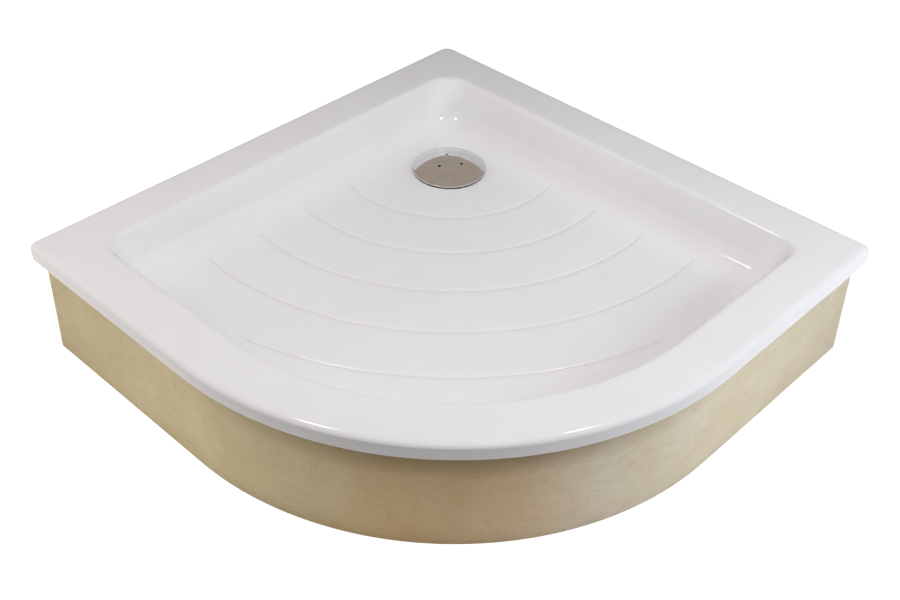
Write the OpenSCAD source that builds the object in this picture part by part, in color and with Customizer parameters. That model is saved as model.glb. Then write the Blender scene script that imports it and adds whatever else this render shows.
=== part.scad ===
// Quadrant shower tray: an acrylic shell bonded to a rigid foam block, with a waste, its trap
// and a chromed cover. Z = 0 is the floor under the tray and the centre of the square is the
// origin. The square back corner is at -X +Y and the curved front faces +X -Y.

/* [Tray outline] */
// Side of the square that the tray fills
side = 800; // [780:5:900]
// Radius of the curved front edge
front_radius = 465; // [445:5:500]
// Height from the floor to the top of the rim
tray_height = 180; // [174:1:230]
// Plan radius of the square back corner
back_corner_r = 16; // [13:1:20]
// Plan radius of the two side corners
side_corner_r = 13; // [12.5:0.5:18]

/* [Acrylic shell] */
// Thickness of the acrylic
shell_t = 4; // [3:0.5:5]
// Height of the lip that hangs down round the rim
lip_drop = 22.5; // [16:0.5:30]
// Width of the rounding on the rim's outer edge, inwards from the outer face
rim_edge_w = 12; // [6:0.5:12]
// Height of the rounding on the rim's outer edge, down from the top
rim_edge_h = 6.5; // [4:0.5:8]
// Width of the rim, from the outer face to where it turns down into the well
rim_width = 64; // [52:1:72]
// Radius of the edge where the rim turns down into the well
well_edge_r = 9; // [6.5:0.5:12]
// Lean of the well's walls from upright, in degrees
wall_draft = 20; // [8:1:25]
// Radius of the cove between the walls and the floor
cove_r = 38; // [30:1:44]
// Plan radius of the well's back corner at the rim
well_back_r = 45; // [36:1:60]
// Plan radius of the well's side corners at the rim
well_side_r = 33; // [20:1:34]
// Plan radius of the floor's corners
floor_corner_r = 29; // [20:1:34]

/* [Floor] */
// Depth of the well at the waste, below the rim
well_depth = 70.5; // [64:0.5:76]
// Fall of the floor towards the waste, in percent
floor_fall = 1.7; // [1:0.1:2]
// Distance from each back wall to the centre of the arc grooves
groove_inset = 162.5; // [150:0.5:180]
// Radius of the smallest arc groove
groove_first_r = 178; // [165:1:190]
// Distance from one arc groove to the next
groove_pitch = 88; // [80:1:92]
// Number of arc grooves
groove_count = 5; // [3:1:5]
// Width of a groove at the floor
groove_w = 4; // [3:0.5:6]
// Depth of a groove
groove_d = 1.2; // [0.8:0.1:1.5]
// Distance from the foot of the walls to the ends of the grooves
groove_margin = 1; // [0.5:0.5:20]

/* [Foam body] */
// Distance from the lip's outer face back to the foam, just under the rim
foam_inset_top = 14.5; // [12:0.5:24]
// Distance from the lip's outer face back to the foam, at the floor
foam_inset_base = 11.5; // [8:0.5:20]
// Plan radius of the foam's corners
foam_corner_r = 3; // [3:1:12]
// Glue line between the foam and the acrylic
bond_gap = 0.3; // [0.2:0.1:0.6]
// Room left in the foam round the trap's flange
pocket_room = 6; // [3:1:12]
// Room left in the foam beside and above the union nut, for the pipe
channel_room = 9; // [6:1:14]

/* [Waste] */
// Distance from each back wall to the centre of the waste
waste_inset = 195; // [185:1:210]
// Radius of the recess that the waste flange lies in
recess_r = 54; // [53.5:0.5:56]
// Depth of the recess below the floor at the waste
recess_depth = 4.5; // [4:0.5:7]
// Radius of the hole in the acrylic
waste_hole_r = 45; // [44.5:0.5:45.5]
// Radius of the waste flange
flange_r = 53; // [51:0.5:53]
// Thickness of the waste flange
flange_t = 2; // [1.5:0.5:2.5]
// Length of the flange's collar, from the top seal to the underside of its ledge
collar_len = 16; // [14:0.5:16.5]
// Radius of the opening inside the flange's ledge
ledge_r = 31.5; // [31.3:0.1:32]
// Thickness of the seal above the acrylic
upper_seal_t = 1.5; // [1:0.5:2]
// Thickness of the seal below the acrylic
lower_seal_t = 2; // [1.5:0.5:3]
// Number of flange screws, which is also the number of the cover's legs
screw_count = 3; // [2:1:4]
// Radius of the circle that the flange screws stand on
screw_circle_r = 36; // [35.9:0.1:36.2]
// Radius of a flange screw's shank
screw_r = 2.45; // [2:0.05:2.5]
// Length of a flange screw under its head
screw_len = 14; // [13:0.5:14.5]

/* [Trap] */
// Height of the trap body
trap_h = 89; // [86:1:92]
// Outer radius of the trap body
trap_r = 47; // [46.5:0.5:49]
// Wall of the trap body
trap_wall = 3; // [2.5:0.5:3]
// Radius of the trap body's sealing flange
trap_flange_r = 56; // [53:0.5:58]
// Bore of the neck that the insert seals in
neck_r = 31; // [31:0.1:31.4]
// Radius of the removable dip tube
dip_r = 22; // [18:0.5:24]
// Inner radius of the ring weir round the dip tube
weir_r = 33.5; // [29:0.5:36]
// Height of the ring weir above the trap's underside
weir_h = 54; // [44:1:58]
// Height of the outlet's axis above the trap's underside
outlet_h = 40; // [38:1:44]
// Radius of the outlet spigot
spigot_r = 20; // [18:0.5:20]
// Length of the plain spigot that a pipe socket slides over
spigot_len = 45; // [30:1:50]
// Radius of the swivel ball
ball_r = 25.5; // [25:0.5:26]
// Distance from the trap's axis to the ball's centre
ball_reach = 68; // [67:0.5:72]
// Outer radius of the union nut
nut_r = 34; // [33:0.5:36]
// Clearance between the ball and what holds it
ball_gap = 0.3; // [0.2:0.05:0.35]

/* [Cover] */
// Radius of the waste cover
cover_r = 56.5; // [55.5:0.5:60]
// Rise of the cover's dome
cover_rise = 11; // [7:0.5:12]
// Height of the cover's upright edge
cover_edge_h = 1.5; // [1.5:0.5:3]
// Thickness of the cover
cover_t = 1.2; // [1:0.1:1.5]
// Slot between the floor and the cover's edge
cover_slot = 3; // [1.5:0.5:5]
// Radius of the circle that the cover's three holes lie on
cover_hole_circle_r = 20; // [16:1:30]
// Radius of a hole in the cover
cover_hole_r = 2.2; // [1.2:0.1:2.5]

/* [Hidden] */
$fn = 96;

half = side / 2;
arc_centre = half - front_radius;
slope = floor_fall / 100;
apex_z = tray_height - well_depth;
waste_xy = [-half + waste_inset, half - waste_inset];
cut = 1;
diagonal = 45;

// Well: the walls run inwards by well_run between the rim and the floor
lean = 90 - wall_draft;
front_reach = (side - front_radius - waste_inset) * sqrt(2) + front_radius - rim_width;
foot_depth = well_depth - slope * front_reach;
well_run = (well_edge_r + cove_r) * cos(wall_draft)
    + tan(wall_draft) * (foot_depth - (well_edge_r + cove_r) * (1 - sin(wall_draft)));
foot_inset = rim_width + well_run;

// Levels of the waste and of the trap that hangs from it
seat_z = apex_z - recess_depth;
under_z = seat_z - shell_t;
flange_z = seat_z + upper_seal_t;
ledge_t = 2.5;
ledge_z = flange_z - collar_len;
ledge_top_z = ledge_z + ledge_t;
collar_wall = 3;
collar_r = waste_hole_r - 1.5;
trap_top_z = under_z - lower_seal_t;
trap_z = trap_top_z - trap_h;
trap_flange_t = 4;
shelf_z = trap_top_z - 19;
shelf_t = 4;
shelf_r = 26;
neck_top_z = trap_top_z - 9.5;
boss_top_z = trap_top_z - 11;
boss_r = 5.2;
insert_len = 7;
insert_r = 3.6;
insert_bore_gap = 0.05;
screw_turn = 15;
screw_head_r = 4.2;
screw_head_h = 2.8;
dip_wall = 2;
dip_bottom_z = trap_z + 14;
seal_room = 0.3;
insert_ring_r = neck_r - seal_room;
insert_ring_h = 12;
insert_top_z = shelf_z + insert_ring_h;
o_ring_r = 1.2;
o_ring_z = shelf_z + 5.5;
o_ring_gap = 0.05;
o_ring_centre_r = neck_r - o_ring_r - o_ring_gap;
strainer_t = 1.6;
strainer_r = insert_ring_r - 0.6;

// Outlet: distances along the outlet from the trap's axis
outlet_z = trap_z + outlet_h;
passage_r = spigot_r - 2.6;
socket_r = ball_r + 3.5;
socket_start = trap_r - 17;
socket_end = ball_reach - 2;
ball_seal_t = 3;
slip_ring_t = 3;
nut_start = ball_reach - 16;
nut_lip = socket_end + ball_seal_t + slip_ring_t;
nut_end = nut_lip + 4;
stop_start = ball_reach + spigot_r;
stop_end = stop_start + 3;
spigot_chamfer = 1.5;
spigot_end = stop_end + spigot_len + spigot_chamfer;

// Cover
cover_z = apex_z + slope * cover_r + cover_slot;
dome_r = (cover_r * cover_r + cover_rise * cover_rise) / (2 * cover_rise);
dome_centre_z = cover_z + cover_edge_h + cover_rise - dome_r;
cover_turn = 26;
leg_r = collar_r - collar_wall - 0.3;
leg_wall = 2.4;

// Steps round the plan outline: corners, walls and front arc
back_steps = 5;
side_steps = 4;
front_steps = 22;
wall_steps = 8;
edge_steps = 4;
well_edge_steps = 4;
cove_steps = 5;

// Points of an arc round c, both ends included
function arc(c, r, from, to, steps) =
    [for (i = [0:steps]) let (a = from + (to - from) * i / steps) c + r * [cos(a), sin(a)]];

// Shares of a back wall at which rays from the waste, at equal angles, meet the floor's edge
wall_away = waste_inset - foot_inset;
ray_near = -atan((wall_away - floor_corner_r) / wall_away);
ray_far = atan((side - foot_inset - floor_corner_r - waste_inset) / wall_away);
function wall_share(i) =
    let (a = ray_near + (ray_far - ray_near) * i / wall_steps)
    (tan(a) - tan(ray_near)) / (tan(ray_far) - tan(ray_near));

// The tray's plan outline drawn in by d, counterclockwise from the back corner
function outline(d, back_r, side_r) =
    let (lo = -half + d, hi = half - d)
    concat(
        arc([lo + back_r, hi - back_r], back_r, 90, 180, back_steps),
        [for (i = [1:wall_steps - 1])
            [lo, hi - back_r + (lo + side_r - hi + back_r) * wall_share(i)]],
        arc([lo + side_r, lo + side_r], side_r, 180, 270, side_steps),
        [[(lo + side_r + arc_centre) / 2, lo]],
        arc([arc_centre, -arc_centre], front_radius - d, 270, 360, front_steps),
        [[hi, (hi - side_r - arc_centre) / 2]],
        arc([hi - side_r, hi - side_r], side_r, 0, 90, side_steps),
        [for (i = [wall_steps - 1:-1:1])
            [lo + back_r + (hi - side_r - lo - back_r) * wall_share(i), hi]]
    );

rim_line = outline(rim_width, well_back_r, well_side_r);
foot_line = outline(foot_inset, floor_corner_r, floor_corner_r);

// Height of the floor at a plan point: a shallow cone round the waste
function floor_z(p) = apex_z + slope * norm(p - waste_xy);

// A row of the well's surface, x in from the rim line, or round the waste at radius r
function well_row(x) = [for (i = [0:len(rim_line) - 1])
    rim_line[i] + (foot_line[i] - rim_line[i]) * x / well_run];
function waste_row(r) = [for (p = foot_line) waste_xy + r * (p - waste_xy) / norm(p - waste_xy)];
function at_level(row, z) = [for (p = row) [p[0], p[1], z]];

// The rounded edge and the cove, grown outwards by g
function edge_x(g, a) = (well_edge_r - g) * sin(a);
function edge_z(g, a) = tray_height - well_edge_r + (well_edge_r - g) * cos(a);
function cove_row(g, a) =
    let (row = well_row(well_run - (cove_r + g) * sin(a)))
    [for (i = [0:len(row) - 1])
        [row[i][0], row[i][1], floor_z(foot_line[i]) + cove_r - (cove_r + g) * cos(a)]];

// Rows of the well's surface from top to bottom. The first two stand beyond the edge's own end,
// on the line of its first step, so that the well cuts the rim cleanly.
function well_rows(g, top_z) =
    let (a1 = lean / well_edge_steps,
        lead_x = -edge_x(g, a1) / 2,
        lead_z = edge_z(g, 0) + (edge_z(g, 0) - edge_z(g, a1)) / 2)
    concat(
        [at_level(well_row(lead_x), top_z), at_level(well_row(lead_x), lead_z)],
        [for (i = [0:well_edge_steps])
            at_level(well_row(edge_x(g, a1 * i)), edge_z(g, a1 * i))],
        [for (i = [0:cove_steps]) cove_row(g, lean * (1 - i / cove_steps))],
        [at_level(waste_row(recess_r / 2), apex_z + slope * recess_r / 2 - g)]
    );

// A closed solid through rows of points, each counterclockwise, from the top row down
module lofted(rows) {
    n = len(rows[0]);
    last = len(rows) - 1;
    middle = [for (row = [rows[0], rows[last]]) [for (k = [0:2]) (min([for (p = row) p[k]])
        + max([for (p = row) p[k]])) / 2]];
    points = concat([for (row = rows) each row], middle);
    sides = [for (j = [0:last - 1], i = [0:n - 1])
        let (a = j * n + i, b = j * n + (i + 1) % n) each [[a, b, b + n], [a, b + n, a + n]]];
    caps = [for (i = [0:n - 1]) let (k = (i + 1) % n)
        each [[n * (last + 1), k, i], [n * (last + 1) + 1, last * n + i, last * n + k]]];
    polyhedron(points, concat(sides, caps));
}

// The well's space grown outwards by g, up to top_z
module well_space(g, top_z) {
    lofted(well_rows(g, top_z));
}

// The plan outline as a flat shape with true arcs
module corner_cut(x, y, r, turn) {
    translate([x, y]) rotate(turn) difference() {
        translate([-cut, -cut]) square(r + cut);
        translate([r, r]) circle(r);
    }
}

module plan(d, back_r, side_r) {
    lo = -half + d;
    hi = half - d;
    difference() {
        union() {
            polygon([[lo, lo], [arc_centre, lo], [arc_centre, -arc_centre], [hi, -arc_centre],
                [hi, hi], [lo, hi]]);
            intersection() {
                translate([arc_centre, -arc_centre]) circle(front_radius - d);
                translate([arc_centre, lo]) square([hi - arc_centre, -arc_centre - lo]);
            }
        }
        corner_cut(lo, lo, side_r, 0);
        corner_cut(hi, hi, side_r, 180);
        corner_cut(lo, hi, back_r, 270);
    }
}

// A profile carried along the tray's outer face: x goes inwards, y goes up
module along_side(p, turn, run) {
    translate([p[0], p[1], 0]) rotate([90, 0, turn]) linear_extrude(run) children();
}

module round_corner(c, r, start) {
    translate([c[0], c[1], 0]) rotate(start) rotate_extrude(angle = 90)
        translate([r, 0]) mirror([1, 0]) children();
}

module along_outer_edge() {
    along_side([-half, half - back_corner_r], 0, side - back_corner_r - side_corner_r) children();
    along_side([-half + side_corner_r, -half], 90, half + arc_centre - side_corner_r) children();
    along_side([half, -arc_centre], 180, half + arc_centre - side_corner_r) children();
    along_side([half - side_corner_r, half], 270, side - back_corner_r - side_corner_r) children();
    round_corner([-half + back_corner_r, half - back_corner_r], back_corner_r, 90) children();
    round_corner([-half + side_corner_r, -half + side_corner_r], side_corner_r, 180) children();
    round_corner([arc_centre, -arc_centre], front_radius, 270) children();
    round_corner([half - side_corner_r, half - side_corner_r], side_corner_r, 0) children();
}

// What is taken off the rim's outer top edge to round it
module edge_waste() {
    round_line = [for (i = [0:edge_steps]) let (a = 90 * i / edge_steps)
        [rim_edge_w * (1 - cos(a)), tray_height - rim_edge_h * (1 - sin(a))]];
    first = round_line[0] - (round_line[1] - round_line[0]) / 2;
    last = round_line[edge_steps] + (round_line[edge_steps] - round_line[edge_steps - 1]) / 16;
    polygon(concat([first], [for (i = [1:edge_steps - 1]) round_line[i]],
        [last, [last[0], tray_height + cut], [-cut, tray_height + cut], [-cut, first[1]]]));
}

module at_waste() {
    translate([waste_xy[0], waste_xy[1], 0]) children();
}

module disc(r, from, to) {
    translate([0, 0, from]) cylinder(h = to - from, r = r);
}

// A rectangle of a turned profile, from radius r0 to r1 and height z0 to z1
module band(r0, r1, z0, z1) {
    translate([r0, z0]) square([r1 - r0, z1 - z0]);
}

// Grooves: arcs round a centre near the waste, ended a margin inside the foot of the walls
groove_limit = foot_inset + groove_margin;
groove_cut_r = (groove_w * groove_w / 4 + groove_d * groove_d) / (2 * groove_d);
function groove_half_angle(r) =
    let (reach = (side - front_radius - groove_inset) * sqrt(2),
        front = front_radius - groove_limit,
        by_wall = diagonal + asin(min(1, (groove_inset - groove_limit) / r)),
        c = (r * r + reach * reach - front * front) / (2 * r * reach))
    c >= 1 ? 0 : c <= -1 ? by_wall : min(by_wall, acos(c));
function groove_floor_z(r) =
    apex_z + slope * (r - (waste_inset - groove_inset) * sqrt(2) * cos(30));

module grooves() {
    for (i = [0:groove_count - 1]) {
        r = groove_first_r + groove_pitch * i;
        half_angle = groove_half_angle(r);
        if (half_angle > 0)
            translate([-half + groove_inset, half - groove_inset, 0])
                rotate(-diagonal - half_angle) rotate_extrude(angle = 2 * half_angle)
                    translate([r, groove_floor_z(r) + groove_cut_r - groove_d])
                        circle(groove_cut_r, $fn = 32);
    }
}

module acrylic_shell() {
    lip_z = tray_height - lip_drop;
    color("white") difference() {
        union() {
            difference() {
                translate([0, 0, lip_z]) linear_extrude(lip_drop)
                    plan(0, back_corner_r, side_corner_r);
                along_outer_edge() edge_waste();
                translate([0, 0, lip_z - cut]) linear_extrude(lip_drop + cut - shell_t)
                    plan(shell_t, back_corner_r - shell_t, side_corner_r - shell_t);
            }
            well_space(shell_t, tray_height - shell_t / 2);
            at_waste() disc(recess_r + shell_t, under_z, apex_z - cut);
        }
        well_space(0, tray_height + cut);
        at_waste() disc(recess_r, seat_z, tray_height);
        at_waste() disc(waste_hole_r, under_z - cut, tray_height);
        grooves();
    }
}

// Foam: a block that widens towards the floor, hollowed for the shell, the trap and the pipe
module foam_body() {
    foam_top = tray_height - shell_t - bond_gap;
    widen = (foam_inset_top - foam_inset_base) / foam_top;
    channel_h = outlet_z + nut_r + channel_room;
    channel_w = 2 * (nut_r + channel_room);
    color("burlywood") difference() {
        intersection() {
            lofted([
                at_level(outline(foam_inset_top + widen * cut, foam_corner_r, foam_corner_r),
                    foam_top + cut),
                at_level(outline(foam_inset_base - widen * cut, foam_corner_r, foam_corner_r),
                    -cut)
            ]);
            translate([-half, -half, 0]) cube([side, side, foam_top]);
        }
        well_space(shell_t + bond_gap, tray_height);
        at_waste() disc(max(trap_flange_r, recess_r + shell_t) + pocket_room, -cut, apex_z);
        translate([-half - cut, waste_xy[1] - channel_w / 2, -cut])
            cube([waste_inset + cut, channel_w, channel_h + cut]);
    }
}

module upper_seal() {
    color("dimgray") at_waste() rotate_extrude()
        band(waste_hole_r + 0.6, flange_r - 1, seat_z, flange_z);
}

module lower_seal() {
    color("dimgray") at_waste() rotate_extrude()
        band(waste_hole_r + 1, trap_flange_r - 1, trap_top_z, under_z);
}

module at_screws(turn) {
    for (i = [0:screw_count - 1])
        rotate(turn + 360 * i / screw_count) translate([screw_circle_r, 0, 0]) children();
}

// Clamping ring: a flat rim in the recess, a collar down through the hole and a screw ledge
module waste_flange() {
    color("silver") at_waste() difference() {
        rotate_extrude() {
            band(collar_r - collar_wall, flange_r, flange_z, flange_z + flange_t);
            band(collar_r - collar_wall, collar_r, ledge_z, flange_z + flange_t);
            band(ledge_r, collar_r, ledge_z, ledge_top_z);
        }
        at_screws(screw_turn) disc(screw_r + 0.3, ledge_z - cut, ledge_top_z + cut);
    }
}

module flange_screws() {
    socket_af_r = 2.2;
    color("gainsboro") at_waste() at_screws(screw_turn) difference() {
        union() {
            disc(screw_r, ledge_top_z - screw_len, ledge_top_z + cut);
            disc(screw_head_r, ledge_top_z, ledge_top_z + screw_head_h);
        }
        translate([0, 0, ledge_top_z + screw_head_h / 2])
            cylinder(h = screw_head_h, r = socket_af_r, $fn = 6);
    }
}

module screw_inserts() {
    color("goldenrod") at_waste() at_screws(screw_turn) rotate_extrude()
        band(screw_r + insert_bore_gap, insert_r, boss_top_z - insert_len, boss_top_z);
}

module along_outlet() {
    translate([waste_xy[0], waste_xy[1], outlet_z]) rotate([0, -90, 0]) children();
}

module ball_room() {
    along_outlet() translate([0, 0, ball_reach]) sphere(ball_r + ball_gap);
}

// Trap body: bowl, ring weir, shelf and neck for the insert, screw bosses and outlet socket
module trap_body() {
    inner_r = trap_r - trap_wall;
    color("whitesmoke") difference() {
        union() {
            at_waste() rotate_extrude() {
                band(0, trap_r, trap_z, trap_z + trap_wall);
                band(inner_r, trap_r, trap_z, trap_top_z);
                band(inner_r, trap_flange_r, trap_top_z - trap_flange_t, trap_top_z);
                band(weir_r, weir_r + 2.5, trap_z, trap_z + weir_h);
                band(shelf_r, trap_r - 1, shelf_z - shelf_t, shelf_z);
                band(neck_r, neck_r + 2.2, shelf_z - shelf_t, neck_top_z);
            }
            at_waste() at_screws(screw_turn) disc(boss_r, shelf_z - shelf_t / 2, boss_top_z);
            difference() {
                along_outlet() disc(socket_r, socket_start, socket_end);
                at_waste() disc(trap_r - trap_wall / 2, trap_z - cut, trap_top_z);
            }
        }
        at_waste() disc(neck_r, shelf_z, trap_top_z + cut);
        at_waste() at_screws(screw_turn)
            disc(insert_r + insert_bore_gap, boss_top_z - insert_len, boss_top_z + cut);
        at_waste() at_screws(screw_turn)
            disc(screw_r + 0.3, ledge_top_z - screw_len - 0.5, boss_top_z + cut);
        along_outlet() disc(passage_r, inner_r - 6, socket_end + cut);
        ball_room();
    }
}

// Insert: ring that seals in the neck, dip tube, and a bar to lift it by
module trap_insert() {
    ring_inner_r = insert_ring_r - 3.2;
    bar_w = 5;
    bar_h = 4;
    color("white") at_waste() difference() {
        union() {
            rotate_extrude() {
                band(ring_inner_r, insert_ring_r, shelf_z, insert_top_z);
                band(dip_r - dip_wall, insert_ring_r, shelf_z, shelf_z + dip_wall);
                band(dip_r - dip_wall, dip_r, dip_bottom_z, shelf_z + dip_wall);
            }
            translate([-ring_inner_r - 1, -bar_w / 2, insert_top_z - 3 - bar_h])
                cube([2 * ring_inner_r + 2, bar_w, bar_h]);
        }
        rotate_extrude() band(o_ring_centre_r - o_ring_r - o_ring_gap, neck_r + cut,
            o_ring_z - o_ring_r - 2 * o_ring_gap, o_ring_z + o_ring_r + 2 * o_ring_gap);
    }
}

module insert_o_ring() {
    color("black") at_waste() rotate_extrude()
        translate([o_ring_centre_r, o_ring_z]) circle(o_ring_r, $fn = 32);
}

// Strainer: a perforated disc with a knob, which lies on the insert's ring
module hair_strainer() {
    hole_r = 2.1;
    color("lightgray") at_waste() difference() {
        union() {
            disc(strainer_r, insert_top_z, insert_top_z + strainer_t);
            disc(4, insert_top_z, insert_top_z + 7);
            disc(6, insert_top_z + 5.5, insert_top_z + 8);
        }
        for (ring = [0:2], i = [0:7 + 4 * ring])
            rotate(360 * i / (8 + 4 * ring)) translate([11.5 + 7 * ring, 0, 0])
                disc(hole_r, insert_top_z - cut, insert_top_z + strainer_t + cut);
    }
}

// Swivel ball with its spigot: a truncated ball, a stop ring and a plain end for a pipe socket
module outlet_ball() {
    color("whitesmoke") along_outlet() difference() {
        union() {
            intersection() {
                translate([0, 0, ball_reach]) sphere(ball_r);
                disc(ball_r + cut, ball_reach - 16, stop_start);
            }
            disc(spigot_r, ball_reach + 6, spigot_end - spigot_chamfer);
            disc(spigot_r + 3, stop_start, stop_end);
            translate([0, 0, spigot_end - spigot_chamfer])
                cylinder(h = spigot_chamfer, r1 = spigot_r, r2 = spigot_r - 1);
        }
        disc(passage_r, ball_reach - ball_r, spigot_end + cut);
    }
}

module ball_seal() {
    color("dimgray") difference() {
        along_outlet() disc(socket_r, socket_end, socket_end + ball_seal_t);
        ball_room();
    }
}

module slip_ring() {
    color("ivory") difference() {
        along_outlet() disc(socket_r, socket_end + ball_seal_t, nut_lip);
        ball_room();
    }
}

// Radius of the ball's room at a distance along the outlet
function ball_room_r(x) = sqrt(pow(ball_r + ball_gap, 2) - pow(x - ball_reach, 2));

module union_nut() {
    rib_w = 4;
    rib_foot = 5;
    ribs = 12;
    color("whitesmoke") along_outlet() difference() {
        union() {
            disc(nut_r - 1.5, nut_start, nut_end);
            for (i = [0:ribs - 1]) rotate(360 * (i + 0.5) / ribs)
                translate([nut_r - rib_foot, -rib_w / 2, nut_start + 1])
                    cube([rib_foot, rib_w, nut_end - nut_start - 2]);
        }
        rotate_extrude() polygon([[0, nut_start - cut], [socket_r + 0.25, nut_start - cut],
            [socket_r + 0.25, nut_lip], [ball_room_r(nut_lip), nut_lip],
            [ball_room_r(nut_end), nut_end], [ball_room_r(nut_end), nut_end + cut],
            [0, nut_end + cut]]);
    }
}

// Underside of the dome, lowered by a gap
module under_dome(gap) {
    translate([0, 0, dome_centre_z]) sphere(dome_r - cover_t - gap, $fn = 180);
}

// Carrier: hub, spokes and ring under the dome, with legs that stand on the flange's ledge
module cover_carrier() {
    ring_r = leg_r + 4;
    hub_r = 11;
    hub_wall = 5;
    spoke_w = 3;
    leg_sweep = 28;
    low_z = cover_z;
    high_z = low_z + cover_edge_h + cover_rise + cut;
    color("whitesmoke") at_waste() union() {
        intersection() {
            union() {
                rotate_extrude() band(leg_r - leg_wall - 1, ring_r, low_z, high_z);
                rotate_extrude() band(hub_r - hub_wall, hub_r, low_z + 1, high_z);
                for (i = [0:screw_count - 1]) rotate(360 * (i + 0.5) / screw_count + screw_turn)
                    translate([hub_r - hub_wall / 2, -spoke_w / 2, low_z + 1])
                        cube([leg_r - hub_r, spoke_w, high_z - low_z]);
            }
            under_dome(0.2);
        }
        for (i = [0:screw_count - 1])
            rotate(360 * (i + 0.5) / screw_count + screw_turn - leg_sweep / 2)
                rotate_extrude(angle = leg_sweep)
                    band(leg_r - leg_wall, leg_r, ledge_top_z, low_z + cut);
    }
}

// Cover: a shallow dome with an upright edge and three small holes
module waste_cover() {
    color("lightsteelblue") at_waste() difference() {
        intersection() {
            translate([0, 0, dome_centre_z]) sphere(dome_r, $fn = 180);
            disc(cover_r, cover_z, cover_z + cover_edge_h + cover_rise + cut);
        }
        intersection() {
            under_dome(0);
            disc(cover_r - cover_t, cover_z - cut, cover_z + cover_edge_h + cover_rise);
        }
        for (i = [0:2]) rotate(cover_turn + 120 * i) translate([cover_hole_circle_r, 0, 0])
            disc(cover_hole_r, cover_z, cover_z + cover_edge_h + cover_rise + cut);
    }
}

acrylic_shell();
foam_body();
upper_seal();
lower_seal();
waste_flange();
flange_screws();
screw_inserts();
trap_body();
trap_insert();
insert_o_ring();
hair_strainer();
outlet_ball();
ball_seal();
slip_ring();
union_nut();
cover_carrier();
waste_cover();
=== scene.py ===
# %% [markdown]
# # Dressing a quadrant shower tray
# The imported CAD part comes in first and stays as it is. It carries every size and every joint.
# The cells below build the pieces whose surfaces the CAD solids only approximate (the acrylic
# shell, the foam block, the chromed cover and a few small parts), give each CAD node that stays
# a procedural finish, and then set up the camera, the lamps and the backdrop.

# %% Load the CAD part
import math

import bmesh
import bpy
import numpy as np
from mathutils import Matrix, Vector, geometry, noise


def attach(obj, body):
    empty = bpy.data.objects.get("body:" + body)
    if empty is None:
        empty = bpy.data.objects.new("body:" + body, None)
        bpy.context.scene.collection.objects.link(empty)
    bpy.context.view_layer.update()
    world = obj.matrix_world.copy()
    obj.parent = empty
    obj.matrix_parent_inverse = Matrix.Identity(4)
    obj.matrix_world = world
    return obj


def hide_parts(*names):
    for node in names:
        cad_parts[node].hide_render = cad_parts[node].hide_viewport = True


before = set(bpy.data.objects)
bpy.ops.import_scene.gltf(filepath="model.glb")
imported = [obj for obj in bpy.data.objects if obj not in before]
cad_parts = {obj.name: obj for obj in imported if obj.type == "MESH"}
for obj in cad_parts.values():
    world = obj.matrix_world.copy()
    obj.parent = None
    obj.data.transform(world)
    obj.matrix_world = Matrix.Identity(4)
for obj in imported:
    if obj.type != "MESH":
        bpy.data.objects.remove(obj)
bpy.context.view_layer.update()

scene = bpy.context.scene
MM = 0.001

# %% [markdown]
# ## Camera
# The photograph was calibrated against the tray's straight walls, the front arc, the grooves and
# the cover, so the camera's place, turn and focal length are measured rather than guessed. A
# wide view of the same object could be framed by eye, but then no edge would line up.

# %% Camera
CAMERA_PLACE = (0.91782, -0.97866, 1.17262)
CAMERA_TURN = (50.958, -0.969, 44.066)
CAMERA_LENS = 50.051
camera = bpy.data.objects.new("camera", bpy.data.cameras.new("camera"))
camera.location = CAMERA_PLACE
camera.rotation_euler = [math.radians(a) for a in CAMERA_TURN]
camera.data.lens = CAMERA_LENS
camera.data.sensor_width = 36
scene.collection.objects.link(camera)
scene.camera = camera
print("camera lens", camera.data.lens)

# %% [markdown]
# ## Sizes shared by the pieces
# They are the same values as in the part's source, in metres, so that every dressed piece lies
# on its CAD solid. The walls of the well run inwards by WELL_RUN between the rim and the floor,
# and the floor is a very shallow cone that falls towards the waste.

# %% Sizes
HALF, TOP = 0.400, 0.180                        # half a side, and the height of the rim
FRONT_R, BACK_R, SIDE_R = 0.465, 0.016, 0.013   # plan radii of the front and of the corners
SHELL_T, LIP = 0.004, 0.0225                    # the acrylic's thickness and the lip's drop
RIM_EDGE_W, RIM_EDGE_H = 0.012, 0.0065          # the rounding between lip and rim
RIM_W, EDGE_R, COVE_R = 0.064, 0.009, 0.038     # flat rim, rounded edge, cove at the floor
WELL_BACK_R, WELL_SIDE_R = 0.045, 0.033         # plan radii of the well at the rim
FLOOR_R = 0.029                                 # plan radius of the walls' foot
DRAFT, SLOPE, DEPTH = math.radians(20), 0.017, 0.0705
WASTE = 0.195                                   # from both straight walls to the waste
APEX = TOP - DEPTH
CENTRE = np.array([-HALF + WASTE, HALF - WASTE])
ARC = HALF - FRONT_R
reach = (2 * HALF - FRONT_R - WASTE) * math.sqrt(2) + FRONT_R - RIM_W
foot_depth = DEPTH - SLOPE * reach
round_r = EDGE_R + COVE_R
straight_drop = foot_depth - round_r * (1 - math.sin(DRAFT))
WELL_RUN = round_r * math.cos(DRAFT) + math.tan(DRAFT) * straight_drop
FOOT = RIM_W + WELL_RUN
WALL_SHARES = 56


def arc(centre, r, start, stop, steps):
    a = np.radians(np.linspace(start, stop, steps + 1))
    return np.array(centre) + r * np.column_stack([np.cos(a), np.sin(a)])


def between(a, b, shares):
    return np.array(a) + (np.array(b) - np.array(a)) * np.asarray(shares)[:, None]


def wall_shares(fine):
    """Shares of a straight wall that lie at equal angles as seen from the waste."""
    corner, away = FLOOR_R, WASTE - FOOT
    near = math.atan((corner - away) / away)
    far = math.atan((2 * HALF - FOOT - corner - WASTE) / away)
    a = np.linspace(near, far, WALL_SHARES * fine + 1)[1:-1]
    return (np.tan(a) - math.tan(near)) / (math.tan(far) - math.tan(near))


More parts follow.
